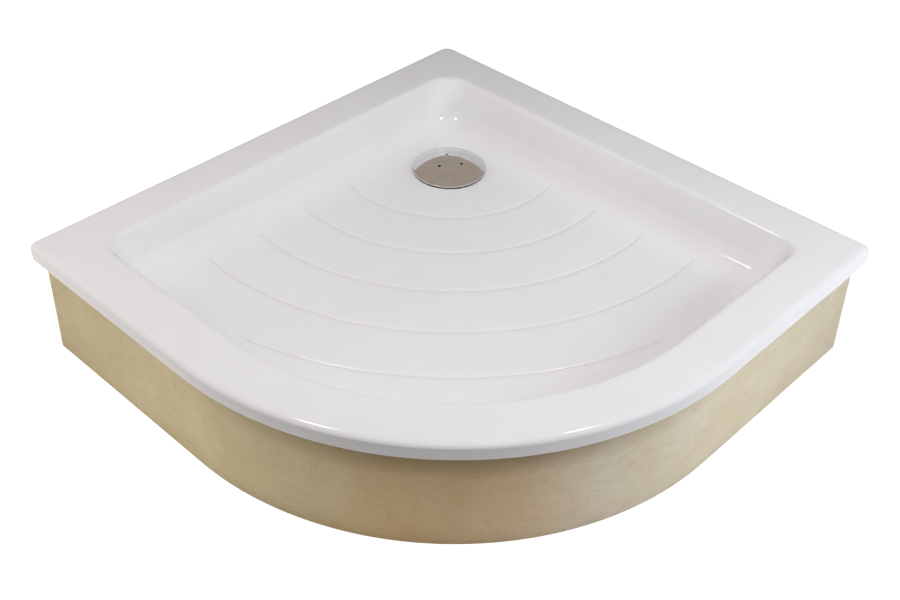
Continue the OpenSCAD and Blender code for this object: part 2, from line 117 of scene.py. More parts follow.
def outline(inset, back_r, side_r, fine=1):
    """The tray's plan outline drawn in by inset, counterclockwise from the back corner."""
    lo, hi = -HALF + inset, HALF - inset
    even = np.linspace(0, 1, 10 * fine + 1)[1:-1]
    walls = wall_shares(fine)
    front = FRONT_R - inset
    return np.vstack([
        arc((lo + back_r, hi - back_r), back_r, 90, 180, 20 * fine),
        between((lo, hi - back_r), (lo, lo + side_r), walls),
        arc((lo + side_r, lo + side_r), side_r, 180, 270, 16 * fine),
        between((lo + side_r, lo), (ARC, lo), even),
        arc((ARC, -ARC), front, 270, 360, 108 * fine),
        between((hi, -ARC), (hi, hi - side_r), even),
        arc((hi - side_r, hi - side_r), side_r, 0, 90, 16 * fine),
        between((lo + back_r, hi), (hi - side_r, hi), walls)[::-1],
    ])


def floor_level_at(points):
    return APEX + SLOPE * np.linalg.norm(points - CENTRE, axis=1)


foot_line = outline(FOOT, FLOOR_R, FLOOR_R)
print("columns round the tray:", len(foot_line), "well run:", round(WELL_RUN, 4))

# %% [markdown]
# ## Small helpers for node trees
# A tree can be drawn by hand in the editor. In a script it takes the same few steps for every
# node: add it, set its properties, link its inputs. These helpers take up those steps, for
# geometry and for shaders alike, and one more sets a tree's inputs, runs it and keeps the mesh.


# %% Node tree helpers
def new_tree(name, kind, sockets):
    """A node group with its sockets: (name, "INPUT" or "OUTPUT", socket type, default)."""
    tree = bpy.data.node_groups.new(name, kind)
    for label, way, socket, default in sockets:
        item = tree.interface.new_socket(name=label, in_out=way, socket_type=socket)
        if default is not None:
            item.default_value = default
    return tree, tree.nodes.new("NodeGroupInput"), tree.nodes.new("NodeGroupOutput")


def node(tree, kind, links=None, **settings):
    """Adds a node, sets its properties, and links or sets its inputs by name or number."""
    n = tree.nodes.new(kind)
    for key, value in settings.items():
        setattr(n, key, value)
    for key, value in (links or {}).items():
        target = n.inputs[key]
        if isinstance(value, bpy.types.NodeSocket):
            tree.links.new(value, target)
        else:
            target.default_value = value
    return n


def maths(tree, operation, a, b=None, c=None):
    links = {i: v for i, v in enumerate((a, b, c)) if v is not None}
    return node(tree, "ShaderNodeMath", links, operation=operation).outputs[0]


def vector_maths(tree, operation, a, b=None, scale=None):
    links = {0: a}
    if b is not None:
        links[1] = b
    if scale is not None:
        links["Scale"] = scale
    return node(tree, "ShaderNodeVectorMath", links, operation=operation).outputs[0]


def material_named(name):
    """The material of that name. It is empty on first use, and gets its nodes further down."""
    return bpy.data.materials.get(name) or bpy.data.materials.new(name)


def guide(name, points, floats=(), vectors=()):
    """A mesh of loose points whose attributes the trees read. It is removed after use."""
    mesh = bpy.data.meshes.new(name)
    mesh.from_pydata([tuple(p) for p in points], [], [])
    for label, values in floats:
        data = mesh.attributes.new(label, "FLOAT", "POINT").data
        data.foreach_set("value", np.asarray(values, np.float32))
    for label, values in vectors:
        data = mesh.attributes.new(label, "FLOAT_VECTOR", "POINT").data
        data.foreach_set("vector", np.asarray(values, np.float32).ravel())
    made = bpy.data.objects.new(name, mesh)
    scene.collection.objects.link(made)
    return made


def run_tree(name, tree, values):
    """Evaluates a tree on an empty mesh, with its inputs by name, and returns a plain mesh."""
    holder = bpy.data.objects.new(name, bpy.data.meshes.new(name))
    scene.collection.objects.link(holder)
    modifier = holder.modifiers.new(name, "NODES")
    modifier.node_group = tree
    keys = {s.name: s.identifier for s in tree.interface.items_tree if s.in_out == "INPUT"}
    for label, value in values.items():
        modifier[keys[label]] = value
    shown = holder.evaluated_get(bpy.context.evaluated_depsgraph_get())
    mesh = bpy.data.meshes.new_from_object(shown)
    mesh.name = name
    bpy.data.objects.remove(holder)
    return mesh


# %% [markdown]
# ## A loft in Geometry Nodes
# The shell follows a rule: every column of points round the tray crosses the same section, which
# runs from the lip up over the rounded edge, across the rim, down the wall and through the cove.
# It could be extruded and pushed about by hand, or swept along a curve, but the corners have
# different radii at the rim and at the floor, so a plain sweep would pinch. Instead a Grid is
# made in Geometry Nodes, and each of its points looks up its column (from a ring of guide
# points) and its row (from a line of section points) and moves to where the two say.

# %% The loft tree
LABELS = ("inset", "to_rim", "to_foot", "level", "on_floor")
loft, g_in, g_out = new_tree("section loft", "GeometryNodeTree", [
    ("Geometry", "OUTPUT", "NodeSocketGeometry", None),
    ("Ring", "INPUT", "NodeSocketObject", None),
    ("Section", "INPUT", "NodeSocketObject", None),
    ("Columns", "INPUT", "NodeSocketInt", 8),
    ("Rows", "INPUT", "NodeSocketInt", 8),
    ("Finish", "INPUT", "NodeSocketMaterial", None),
])
columns, rows = g_in.outputs["Columns"], g_in.outputs["Rows"]
grid = node(loft, "GeometryNodeMeshGrid", {
    "Size X": 1.0, "Size Y": 1.0,
    "Vertices X": maths(loft, "ADD", columns, 1.0), "Vertices Y": rows})
where = node(loft, "ShaderNodeSeparateXYZ", {0: node(loft, "GeometryNodeInputPosition").outputs[0]})
along = maths(loft, "ADD", where.outputs[0], 0.5)
column = maths(loft, "ROUND", maths(loft, "MULTIPLY", along, columns))
column = maths(loft, "FLOORED_MODULO", column, columns)
last_row = maths(loft, "SUBTRACT", rows, 1.0)
down = maths(loft, "ADD", where.outputs[1], 0.5)
row = maths(loft, "ROUND", maths(loft, "MULTIPLY", down, last_row))


def looked_up(source, label, index, kind):
    """The value that one guide point holds under that attribute name."""
    points = node(loft, "GeometryNodeObjectInfo", {"Object": source}).outputs["Geometry"]
    value = node(loft, "GeometryNodeInputNamedAttribute", {"Name": label}, data_type=kind)
    found = node(loft, "GeometryNodeSampleIndex", {"Geometry": points, "Index": index},
                 data_type=kind, domain="POINT")
    loft.links.new(value.outputs["Attribute"], found.inputs["Value"])
    return found.outputs["Value"]


ring, section = g_in.outputs["Ring"], g_in.outputs["Section"]
outer, inwards, rim, foot = (looked_up(ring, label, column, "FLOAT_VECTOR")
                             for label in ("outer", "inward", "rim", "foot"))
floor_level = looked_up(ring, "floor", column, "FLOAT")
inset, to_rim, to_foot, level, on_floor = (
    looked_up(section, label, row, "FLOAT") for label in LABELS)


def mixed(a, b, share):
    step = vector_maths(loft, "SCALE", vector_maths(loft, "SUBTRACT", b, a), scale=share)
    return vector_maths(loft, "ADD", a, step)


place = vector_maths(loft, "ADD", outer, vector_maths(loft, "SCALE", inwards, scale=inset))
place = mixed(mixed(place, rim, to_rim), foot, to_foot)
height = maths(loft, "MULTIPLY_ADD", on_floor, floor_level, level)
lifted = node(loft, "ShaderNodeCombineXYZ", {2: height}).outputs[0]
moved = node(loft, "GeometryNodeSetPosition", {
    "Geometry": grid.outputs["Mesh"], "Position": vector_maths(loft, "ADD", place, lifted)})
closed = node(loft, "GeometryNodeMergeByDistance", {"Geometry": moved.outputs[0], "Distance": 1e-6})
real = node(loft, "GeometryNodeRealizeInstances", {"Geometry": closed.outputs[0]})
finished = node(loft, "GeometryNodeSetMaterial", {
    "Geometry": real.outputs[0], "Material": g_in.outputs["Finish"]})
loft.links.new(finished.outputs[0], g_out.inputs["Geometry"])
print("loft tree:", len(loft.nodes), "nodes")


# %% [markdown]
# ## The rows of a section
# One row is five numbers: how far in from the lip, how far towards the rim's inner line, how far
# towards the foot of the wall, its height, and whether that height counts from the sloping
# floor. Rounded edges get many rows, flat parts few, because only curves need them.

# %% Section rows
LEAN = math.radians(90) - DRAFT


def flat3(points):
    return np.column_stack([points, np.zeros(len(points))])


def well_section(grown, edge_steps=10, cove_steps=16):
    """Rows (inset, to_rim, to_foot, level, on_floor) of the well's edge and of its cove.

    The straight wall between the two needs no rows of its own. grown moves both outwards."""
    made = []
    for a in np.linspace(0, LEAN, edge_steps + 1):
        x, z = (EDGE_R - grown) * math.sin(a), TOP - EDGE_R + (EDGE_R - grown) * math.cos(a)
        made.append((0, 1, x / WELL_RUN, z, 0))
    cove = []
    for a in np.linspace(LEAN, 0, cove_steps + 1):
        x = WELL_RUN - (COVE_R + grown) * math.sin(a)
        cove.append((0, 1, x / WELL_RUN, COVE_R - (COVE_R + grown) * math.cos(a), 1))
    return made, cove


def quarter(steps):
    return np.radians(np.linspace(0, 90, steps + 1))


def lofted_mesh(name, finish_name, rows_in, outer_points, inner_points, step, fine=1):
    """Runs the loft tree. inner_points are the outer points drawn in by step."""
    rim_points = outline(RIM_W, WELL_BACK_R, WELL_SIDE_R, fine)
    foot_points = outline(FOOT, FLOOR_R, FLOOR_R, fine)
    ring_guide = guide("ring guide", flat3(outer_points), [("floor", floor_level_at(foot_points))],
                       [("outer", flat3(outer_points)),
                        ("inward", flat3((inner_points - outer_points) / step)),
                        ("rim", flat3(rim_points)), ("foot", flat3(foot_points))])
    r = np.array(rows_in, float)
    section_guide = guide("section guide", np.zeros((len(r), 3)), list(zip(LABELS, r.T)))
    bpy.context.view_layer.update()
    mesh = run_tree(name, loft, {"Ring": ring_guide, "Section": section_guide,
                                 "Columns": len(outer_points), "Rows": len(r),
                                 "Finish": material_named(finish_name)})
    bpy.data.objects.remove(section_guide)
    bpy.data.objects.remove(ring_guide)
    return mesh


# %% [markdown]
# ## Filling a flat region with triangles
# The floor lies between the foot of the walls and the waste, and has five arc grooves in it.
# Cutting the grooves with a Boolean would leave long thin faces that shade badly on gloss
# acrylic. A constrained triangulation instead takes the loops, the rows of points along each
# groove and a loose pattern of points between them, so that small faces lie only where needed.


# %% Triangulation helpers
def inside(points, loop):
    """Which points lie inside a closed loop, by counting crossings."""
    x, y = points[:, 0][:, None], points[:, 1][:, None]
    a, b = loop, np.roll(loop, -1, 0)
    rise = b[:, 1] - a[:, 1]
    at = (b[:, 0] - a[:, 0]) * (y - a[:, 1]) / np.where(rise == 0, 1, rise) + a[:, 0]
    crossing = (a[:, 1] > y) != (b[:, 1] > y)
    return (crossing & (x < at)).sum(1) % 2 == 1


def filled(outer_loop, inner_loop, extra=(), chains=()):
    """Points and triangles between two loops, through extra points and along open chains."""
    points, edges = [], []
    for run, closed in [(outer_loop, 1), (inner_loop, 1)] + [(c, 0) for c in chains]:
        first = len(points)
        points += list(run)
        edges += [(first + i, first + i + 1) for i in range(len(run) - 1)]
        edges += [(len(points) - 1, first)] * closed
    points += list(extra)
    in_mm = [Vector((float(p[0]) / MM, float(p[1]) / MM)) for p in points]
    made, _, faces = geometry.delaunay_2d_cdt(in_mm, edges, [], 0, 1e-5)[:3]
    made = np.array([tuple(v) for v in made]) * MM
    faces = np.array([f for f in faces if len(f) == 3])
    middle = made[faces].mean(1)
    kept = inside(middle, np.array(outer_loop)) & ~inside(middle, np.array(inner_loop))
    return made, faces[kept]


def circle(r, steps=120, centre=CENTRE):
    return arc(centre, r, 0, 360, steps)[:-1]


def add_faces(bm, points, faces):
    verts = [bm.verts.new(tuple(map(float, p))) for p in points]
    for f in faces:
        bm.faces.new([verts[i] for i in f])


def turned(section_points, steps=120, centre=CENTRE):
    """Points and faces of a section (radius, height) turned about the upright through centre."""
    points, n = [], steps
    for r, z in section_points:
        points += [(x, y, z) for x, y in circle(r, steps, centre)]
    faces = [(j * n + i, j * n + (i + 1) % n, (j + 1) * n + (i + 1) % n, (j + 1) * n + i)
             for j in range(len(section_points) - 1) for i in range(n)]
    return points, faces


def piece(name, bm, sharp=40):
    """Closes a bmesh into a smooth-shaded object at the origin, faces outwards."""
    bmesh.ops.remove_doubles(bm, verts=bm.verts, dist=4e-6)
    bmesh.ops.dissolve_degenerate(bm, edges=bm.edges, dist=1e-7)
    bmesh.ops.recalc_face_normals(bm, faces=bm.faces)
    open_edges = sum(not e.is_manifold for e in bm.edges)
    mesh = bpy.data.meshes.new(name)
    bm.to_mesh(mesh)
    bm.free()
    made = bpy.data.objects.new(name, mesh)
    scene.collection.objects.link(made)
    smooth(mesh, sharp)
    print(name, len(mesh.polygons), "faces,", open_edges, "open edges")
    return made


def smooth(mesh, sharp=40):
    mesh.polygons.foreach_set("use_smooth", [True] * len(mesh.polygons))
    mesh.set_sharp_from_angle(angle=math.radians(sharp))


# %% [markdown]
# ## The grooves
# Five shallow arcs round one centre near the back corner give grip and lead the water. Each
# fades out a little way from the foot of the walls, where the ribs of the forming tool run out,
# so its depth is a smooth bump times a taper at both ends.

# %% Grooves
GROOVE_CENTRE = np.array([-HALF + 0.1625, HALF - 0.1625])
GROOVE_FIRST, GROOVE_PITCH, GROOVES = 0.178, 0.088, 5
GROOVE_HALF_W, GROOVE_D, GROOVE_FADE = 0.0022, 0.0009, 0.012
GROOVE_LIMIT = FOOT + 0.001
GROOVE_STEP, GROOVE_OFFSETS = 0.0045, (-1, -0.7, -0.35, 0, 0.35, 0.7, 1)


def groove_half_angle(r):
    """Half the angle of an arc that stays clear of the walls' foot."""
    inset = GROOVE_CENTRE[0] + HALF
    along, front = (2 * HALF - FRONT_R - inset) * math.sqrt(2), FRONT_R - GROOVE_LIMIT
    by_wall = math.radians(45) + math.asin(min(1, (inset - GROOVE_LIMIT) / r))
    by_front = (r * r + along * along - front * front) / (2 * r * along)
    return min(by_wall, math.acos(max(-1, min(1, by_front))))


groove_arcs = [(GROOVE_FIRST + GROOVE_PITCH * i, groove_half_angle(GROOVE_FIRST + GROOVE_PITCH * i))
               for i in range(GROOVES)]


def eased(t):
    t = np.clip(t, 0, 1)
    return t * t * (3 - 2 * t)


def groove_depth(points):
    away = points - GROOVE_CENTRE
    r, a = np.hypot(away[:, 0], away[:, 1]), np.arctan2(away[:, 1], away[:, 0]) + math.radians(45)
    depth = np.zeros(len(points))
    for groove_r, half_angle in groove_arcs:
        across = np.clip(np.abs(r - groove_r) / GROOVE_HALF_W, 0, 1)
        to_end = (half_angle - np.abs(a)) * groove_r
        depth += GROOVE_D * np.cos(across * math.pi / 2) ** 2 * eased(to_end / GROOVE_FADE)
    return depth


chains = []
for groove_r, half_angle in groove_arcs:
    steps = int(2 * half_angle * groove_r / GROOVE_STEP)
    ends = -45 - math.degrees(half_angle), -45 + math.degrees(half_angle)
    chains += [arc(GROOVE_CENTRE, groove_r + x * GROOVE_HALF_W, *ends, steps)
               for x in GROOVE_OFFSETS]
print("groove half angles:", [round(math.degrees(a), 1) for _, a in groove_arcs])

# %% [markdown]
# ## The floor
# A loose pattern of points fills what the grooves leave. Points too close to a loop or a groove
# are dropped, because slivers would spoil the shading.

# %% Floor points
RECESS_R, HOLE_R = 0.054, 0.045
SEAT, UNDER = APEX - 0.0045, APEX - 0.0085
FLOOR_HOLE = 0.0585
FLOOR_GRID, FLOOR_CLEAR, GROOVE_CLEAR = 0.0085, 0.005, 0.003


def floor_pattern(loop, hole_r, clear, spacing):
    """A triangular pattern of points inside a loop, clear of it and of a round hole."""
    rows = np.arange(-HALF, HALF, spacing * math.sqrt(3) / 2)
    points = np.array([(x + (j % 2) * spacing / 2, y) for j, y in enumerate(rows)
                       for x in np.arange(-HALF, HALF, spacing)])
    points = points[inside(points, loop)]
    gap = np.min(np.linalg.norm(points[:, None] - loop[None], axis=2), axis=1)
    from_hole = np.linalg.norm(points - CENTRE, axis=1) - hole_r
    return points[(gap > clear) & (from_hole > clear)]


pattern = floor_pattern(foot_line, FLOOR_HOLE, FLOOR_CLEAR, FLOOR_GRID)
away = pattern - GROOVE_CENTRE
for groove_r, half_angle in groove_arcs:
    near = np.abs(np.hypot(away[:, 0], away[:, 1]) - groove_r) < GROOVE_HALF_W + GROOVE_CLEAR
    near &= np.abs(np.arctan2(away[:, 1], away[:, 0]) + math.radians(45)) < half_angle + 0.01
    pattern, away = pattern[~near], away[~near]
floor_points, floor_faces = filled(foot_line, circle(FLOOR_HOLE), pattern, chains)
floor_z = floor_level_at(floor_points) - groove_depth(floor_points)
print("floor:", len(floor_faces), "triangles")

# %% [markdown]
# ## The acrylic shell
# The skin is one closed mesh: the lofted section, the grooved floor, the recess for the waste
# and the underside. The section starts at the foot of the wall below the floor, runs up inside
# the lip and back down the well, so that inside and outside are one loft.

# %% Rows of the lip
def lip_rows():
    """Rows from the lip's inner face, round its lower edge and up over the rim's outer edge."""
    low, soft = TOP - LIP, 0.0008
    inner = [(SHELL_T, 0, 0, z, 0) for z in np.linspace(TOP - SHELL_T, low + soft, 5)]
    inner += [(SHELL_T - soft * (1 - math.cos(a)), 0, 0, low + soft * (1 - math.sin(a)), 0)
              for a in quarter(3)[1:]]
    under = [(x, 0, 0, low, 0) for x in np.linspace(SHELL_T - soft, soft, 4)[1:]]
    under += [(soft * (1 - math.sin(a)), 0, 0, low + soft * (1 - math.cos(a)), 0)
              for a in quarter(3)[1:]]
    face = [(0, 0, 0, z, 0) for z in np.linspace(low + soft, TOP - RIM_EDGE_H, 6)[1:]]
    face += [(RIM_EDGE_W * (1 - math.cos(a)), 0, 0, TOP - RIM_EDGE_H * (1 - math.sin(a)), 0)
             for a in quarter(14)[1:]]
    top = [(RIM_EDGE_W, t, 0, TOP, 0) for t in np.linspace(0, 1, 9)[1:-1]]
    return inner + under + face + top


# %% Loft and floor of the shell
UNDER_HOLE, UNDER_CLEAR, UNDER_GRID = 0.0625, 0.02, 0.03
well_below, cove_below = well_section(SHELL_T)
well_above, cove_above = well_section(0)
skin_rows = ((well_below + cove_below)[::-1]
             + [(SHELL_T, t, 0, TOP - SHELL_T, 0) for t in np.linspace(1, 0, 7)[1:-1]]
             + lip_rows() + well_above + cove_above)
outer_line = outline(0, BACK_R, SIDE_R)
inner_line = outline(RIM_EDGE_W, BACK_R - RIM_EDGE_W, SIDE_R - RIM_EDGE_W)
skin = bmesh.new()
skin.from_mesh(lofted_mesh("shell loft", "white_acrylic", skin_rows, outer_line, inner_line,
                           RIM_EDGE_W))
add_faces(skin, np.column_stack([floor_points, floor_z]), floor_faces)
low_pattern = floor_pattern(foot_line, UNDER_HOLE, UNDER_CLEAR, UNDER_GRID)
low_points, low_faces = filled(foot_line, circle(UNDER_HOLE), low_pattern)
add_faces(skin, np.column_stack([low_points, floor_level_at(low_points) - SHELL_T]), low_faces)

# %% Recess for the waste
soft, chip = 0.0012, 0.0004
recess = [(FLOOR_HOLE, APEX + SLOPE * FLOOR_HOLE)]
recess += [(RECESS_R + soft * (1 - math.sin(a)), APEX + SLOPE * RECESS_R - soft * (1 - math.cos(a)))
           for a in quarter(5)]
recess += [(RECESS_R - soft * (1 - math.cos(a)), SEAT + soft * (1 - math.sin(a)))
           for a in quarter(4)]
recess += [(HOLE_R + chip, SEAT), (HOLE_R, SEAT - chip), (HOLE_R, UNDER + chip),
           (HOLE_R + chip, UNDER), (RECESS_R + SHELL_T, UNDER),
           (RECESS_R + SHELL_T, APEX + SLOPE * RECESS_R - SHELL_T),
           (UNDER_HOLE, APEX + SLOPE * UNDER_HOLE - SHELL_T)]
add_faces(skin, *turned(recess))
shell_skin = piece("shell_skin", skin, sharp=50)

# %% [markdown]
# ## Marking the grooves
# The finish has to know where a groove is, to shade it a little. Each point therefore stores how
# deep it lies in a groove, from 0 to 1, in an attribute of its own. A painted mask would do the
# same, but it would need an unwrapped mesh and a picture.

# %% Groove attribute
spots = np.zeros(len(shell_skin.data.vertices) * 3)
shell_skin.data.vertices.foreach_get("co", spots)
spots = spots.reshape(-1, 3)
on_top = spots[:, 2] > floor_level_at(spots[:, :2]) - 1.5 * GROOVE_D
on_floor = on_top & inside(spots[:, :2], foot_line)
in_groove = np.where(on_floor, groove_depth(spots[:, :2]) / GROOVE_D, 0)
groove_mark = shell_skin.data.attributes.new("groove", "FLOAT", "POINT")
groove_mark.data.foreach_set("value", in_groove.astype(np.float32))
print("points in the grooves:", int((in_groove > 0.1).sum()))

# %% [markdown]
# ## The foam block
# The shell stands on a block of rigid polyurethane foam, cast in a mould against the shell's
# underside. Its sides lean in a little towards the top, its skin is never quite flat, and a thin
# flash line runs round it just above the floor. The same loft makes it from other rows, twice
# as fine, and then each point of the sides moves by a little layered noise.

# %% Rows of the block
FOAM_IN, FOAM_LEAN, FOAM_R = 0.0115, 0.003, 0.003
FOAM_LOW_R, FOAM_TOP_R = 0.0018, 0.0012
GLUE = 0.0003
FOAM_TOP = TOP - SHELL_T - GLUE
POCKET_R = 0.064
CHANNEL_HALF, CHANNEL_TOP = 0.043, 0.093
FLASH_Z, FLASH_OUT = 0.0085, 0.0004
SWELL, RIPPLE = 0.0006, 0.00016                 # how far the skin swells and ripples
BOTTOM_GRID = 0.04


def foam_rows():
    """Rows of the block: bottom edge, flash line, leaning side, top edge, flat top, well."""
    low_r, top_r = FOAM_LOW_R, FOAM_TOP_R
    rows_up = [(low_r * (1 - math.sin(a)), 0, 0, low_r * (1 - math.cos(a)), 0) for a in quarter(4)]
    flash = [(z, FLASH_OUT * math.cos((z - FLASH_Z) / 0.0012 * math.pi / 2) ** 2)
             for z in FLASH_Z + np.linspace(-0.0012, 0.0012, 7)]
    heights = [(z, 0) for z in np.linspace(0.0032, FLASH_Z - 0.002, 2)] + flash
    heights += [(z, 0) for z in np.linspace(FLASH_Z + 0.0035, FOAM_TOP - top_r, 36)]
    rows_up += [(FOAM_LEAN * z / FOAM_TOP - out, 0, 0, z, 0) for z, out in heights]
    rows_up += [(FOAM_LEAN + top_r * (1 - math.cos(a)), 0, 0,
                 FOAM_TOP - top_r * (1 - math.sin(a)), 0) for a in quarter(3)[1:]]
    flat = [(FOAM_LEAN + top_r, t, 0, FOAM_TOP, 0) for t in np.linspace(0, 1, 8)[1:-1]]
    edge, cove = well_section(SHELL_T + GLUE, 6, 10)
    return rows_up + flat + edge + cove


# %% Sides of the block
foam_line = outline(FOAM_IN, FOAM_R, FOAM_R, 2)
foam_top_line = outline(FOAM_IN + FOAM_LEAN, FOAM_R, FOAM_R, 2)
foam = bmesh.new()
foam.from_mesh(lofted_mesh("foam loft", "pu_foam", foam_rows(), foam_line, foam_top_line,
                           FOAM_LEAN, 2))
noise.seed_set(7)
for v in foam.verts:
    x, y, z = v.co
    to_side = max(abs(x), abs(y))
    if x > ARC and y < -ARC:
        to_side = math.hypot(x - ARC, y + ARC) + ARC
    if to_side > HALF - FOAM_IN - FOAM_LEAN - 0.001 and 0.0001 < z < FOAM_TOP - 0.001:
        keep = min(1, z / 0.004)
        push = SWELL * noise.noise(v.co * 14) + RIPPLE * noise.noise(v.co * 90)
        v.co -= Vector((x, y, 0)).normalized() * (push * keep + SWELL * 0.4)

# %% Bottom and ceiling of the block
bottom_line = foam_line + (foam_top_line - foam_line) * FOAM_LOW_R / FOAM_LEAN
low_pattern = floor_pattern(bottom_line[::2], POCKET_R, UNDER_CLEAR, BOTTOM_GRID)
low_points, low_faces = filled(bottom_line, circle(POCKET_R), low_pattern)
add_faces(foam, flat3(low_points), low_faces)
fine_foot = outline(FOOT, FLOOR_R, FLOOR_R, 2)
high_pattern = floor_pattern(foot_line, POCKET_R, UNDER_CLEAR, UNDER_GRID)
high_points, high_faces = filled(fine_foot, circle(POCKET_R), high_pattern)
ceiling = floor_level_at(high_points) - SHELL_T - GLUE
add_faces(foam, np.column_stack([high_points, ceiling]), high_faces)
add_faces(foam, *turned([(POCKET_R, z) for z in
                         np.linspace(0, APEX + SLOPE * POCKET_R - SHELL_T - GLUE, 12)]))
foam_block = piece("foam_block", foam, sharp=35)


# %% [markdown]
# ## The pipe channel
# The block is cut away from one straight side to the waste, so that the pipe can leave. It could
# be built into the rows of the loft, but a Boolean with an arch-shaped solid gives the crisp
# edges of a sawn channel at once.

# %% Pipe channel through the foam
def cut_away(made, cutter_points, cutter_faces):
    """Takes a closed solid away from a piece with an exact Boolean, and keeps the plain mesh."""
    solid = bmesh.new()
    add_faces(solid, cutter_points, cutter_faces)
    cutter = piece("cutter", solid)
    modifier = made.modifiers.new("cut", "BOOLEAN")
    modifier.object, modifier.operation, modifier.solver = cutter, "DIFFERENCE", "EXACT"
    shown = made.evaluated_get(bpy.context.evaluated_depsgraph_get())
    mesh = bpy.data.meshes.new_from_object(shown)
    made.modifiers.clear()
    made.data = mesh
    bpy.data.objects.remove(cutter)


soft = 0.004
low_y, high_y = CENTRE[1] - CHANNEL_HALF, CENTRE[1] + CHANNEL_HALF
arch = [(low_y, -0.01), (high_y, -0.01)]
arch += [tuple(p) for p in arc((high_y - soft, CHANNEL_TOP - soft), soft, 0, 90, 6)]
arch += [tuple(p) for p in arc((low_y + soft, CHANNEL_TOP - soft), soft, 90, 180, 6)]
n = len(arch)
tunnel = [(x, y, z) for x in (-HALF - 0.01, CENTRE[0]) for y, z in arch]
tunnel_faces = [(i, (i + 1) % n, n + (i + 1) % n, n + i) for i in range(n)]
tunnel_faces += [tuple(range(n)), tuple(range(2 * n - 1, n - 1, -1))]
cut_away(foam_block, tunnel, tunnel_faces)
smooth(foam_block.data, 35)
print("foam block with its channel:", len(foam_block.data.polygons), "faces")

# %% [markdown]
# ## The punching tree
# The holes and the screws stand on circles. One tree punches a circle of round holes through a
# plate with a Mesh Boolean, and the next sets copies of a small piece on a circle. Both could be
# done with loops in Python, but as trees their counts and radii stay named inputs.

# %% Punched circle
punch, g_in, g_out = new_tree("punched circle", "GeometryNodeTree", [
    ("Geometry", "OUTPUT", "NodeSocketGeometry", None),
    ("Source", "INPUT", "NodeSocketObject", None),
    ("Holes", "INPUT", "NodeSocketInt", 3),
    ("Circle radius", "INPUT", "NodeSocketFloat", 0.02),
    ("Hole radius", "INPUT", "NodeSocketFloat", 0.002),
    ("Turn", "INPUT", "NodeSocketFloat", 0.0),
    ("Centre", "INPUT", "NodeSocketVector", None),
    ("Depth", "INPUT", "NodeSocketFloat", 0.03),
    ("Finish", "INPUT", "NodeSocketMaterial", None),
])
source = node(punch, "GeometryNodeObjectInfo", {"Object": g_in.outputs["Source"]})
spots = node(punch, "GeometryNodeMeshCircle", {
    "Vertices": g_in.outputs["Holes"], "Radius": g_in.outputs["Circle radius"]})
drill = node(punch, "GeometryNodeMeshCylinder", {
    "Vertices": 28, "Radius": g_in.outputs["Hole radius"], "Depth": g_in.outputs["Depth"]})
drills = node(punch, "GeometryNodeInstanceOnPoints", {
    "Points": spots.outputs["Mesh"], "Instance": drill.outputs["Mesh"]})
solid_drills = node(punch, "GeometryNodeRealizeInstances", {"Geometry": drills.outputs[0]})
turn = node(punch, "ShaderNodeCombineXYZ", {2: g_in.outputs["Turn"]})
placed = node(punch, "GeometryNodeTransform", {
    "Geometry": solid_drills.outputs[0], "Translation": g_in.outputs["Centre"],
    "Rotation": turn.outputs[0]})
holed = node(punch, "GeometryNodeMeshBoolean", {
    "Mesh 1": source.outputs["Geometry"], "Mesh 2": placed.outputs[0]}, operation="DIFFERENCE")
real = node(punch, "GeometryNodeRealizeInstances", {"Geometry": holed.outputs["Mesh"]})
finished = node(punch, "GeometryNodeSetMaterial", {
    "Geometry": real.outputs[0], "Material": g_in.outputs["Finish"]})
punch.links.new(finished.outputs[0], g_out.inputs["Geometry"])

# %% [markdown]
# ## The repeating tree
# Instances are cheap copies that share one mesh. They are realised at the end, because a piece
# that is handed over has to be one plain mesh.

# %% Copies on a circle
repeat, g_in, g_out = new_tree("copies on a circle", "GeometryNodeTree", [
    ("Geometry", "OUTPUT", "NodeSocketGeometry", None),
    ("Source", "INPUT", "NodeSocketObject", None),
    ("Count", "INPUT", "NodeSocketInt", 3),
    ("Radius", "INPUT", "NodeSocketFloat", 0.02),
    ("Turn", "INPUT", "NodeSocketFloat", 0.0),
    ("Centre", "INPUT", "NodeSocketVector", None),
    ("Finish", "INPUT", "NodeSocketMaterial", None),
])
source = node(repeat, "GeometryNodeObjectInfo", {"Object": g_in.outputs["Source"]})
spots = node(repeat, "GeometryNodeMeshCircle", {
    "Vertices": g_in.outputs["Count"], "Radius": g_in.outputs["Radius"]})
spread = node(repeat, "GeometryNodeInputIndex").outputs[0]
share = maths(repeat, "MULTIPLY", spread, 2 * math.pi)
share = maths(repeat, "DIVIDE", share, g_in.outputs["Count"])
facing = node(repeat, "ShaderNodeCombineXYZ", {2: share})
copies = node(repeat, "GeometryNodeInstanceOnPoints", {
    "Points": spots.outputs["Mesh"], "Instance": source.outputs["Geometry"],
    "Rotation": facing.outputs[0]})
real = node(repeat, "GeometryNodeRealizeInstances", {"Geometry": copies.outputs[0]})
turn = node(repeat, "ShaderNodeCombineXYZ", {2: g_in.outputs["Turn"]})
placed = node(repeat, "GeometryNodeTransform", {
    "Geometry": real.outputs[0], "Translation": g_in.outputs["Centre"],
    "Rotation": turn.outputs[0]})
finished = node(repeat, "GeometryNodeSetMaterial", {
    "Geometry": placed.outputs[0], "Material": g_in.outputs["Finish"]})
repeat.links.new(finished.outputs[0], g_out.inputs["Geometry"])
print("punching tree:", len(punch.nodes), "nodes; repeating tree:", len(repeat.nodes), "nodes")


# %% [markdown]
# ## Running a tree on a piece
# The source piece goes in as an object, and the tree's mesh comes back as a new piece. Round
# pieces start as a closed solid turned from half a section, like work on a lathe.

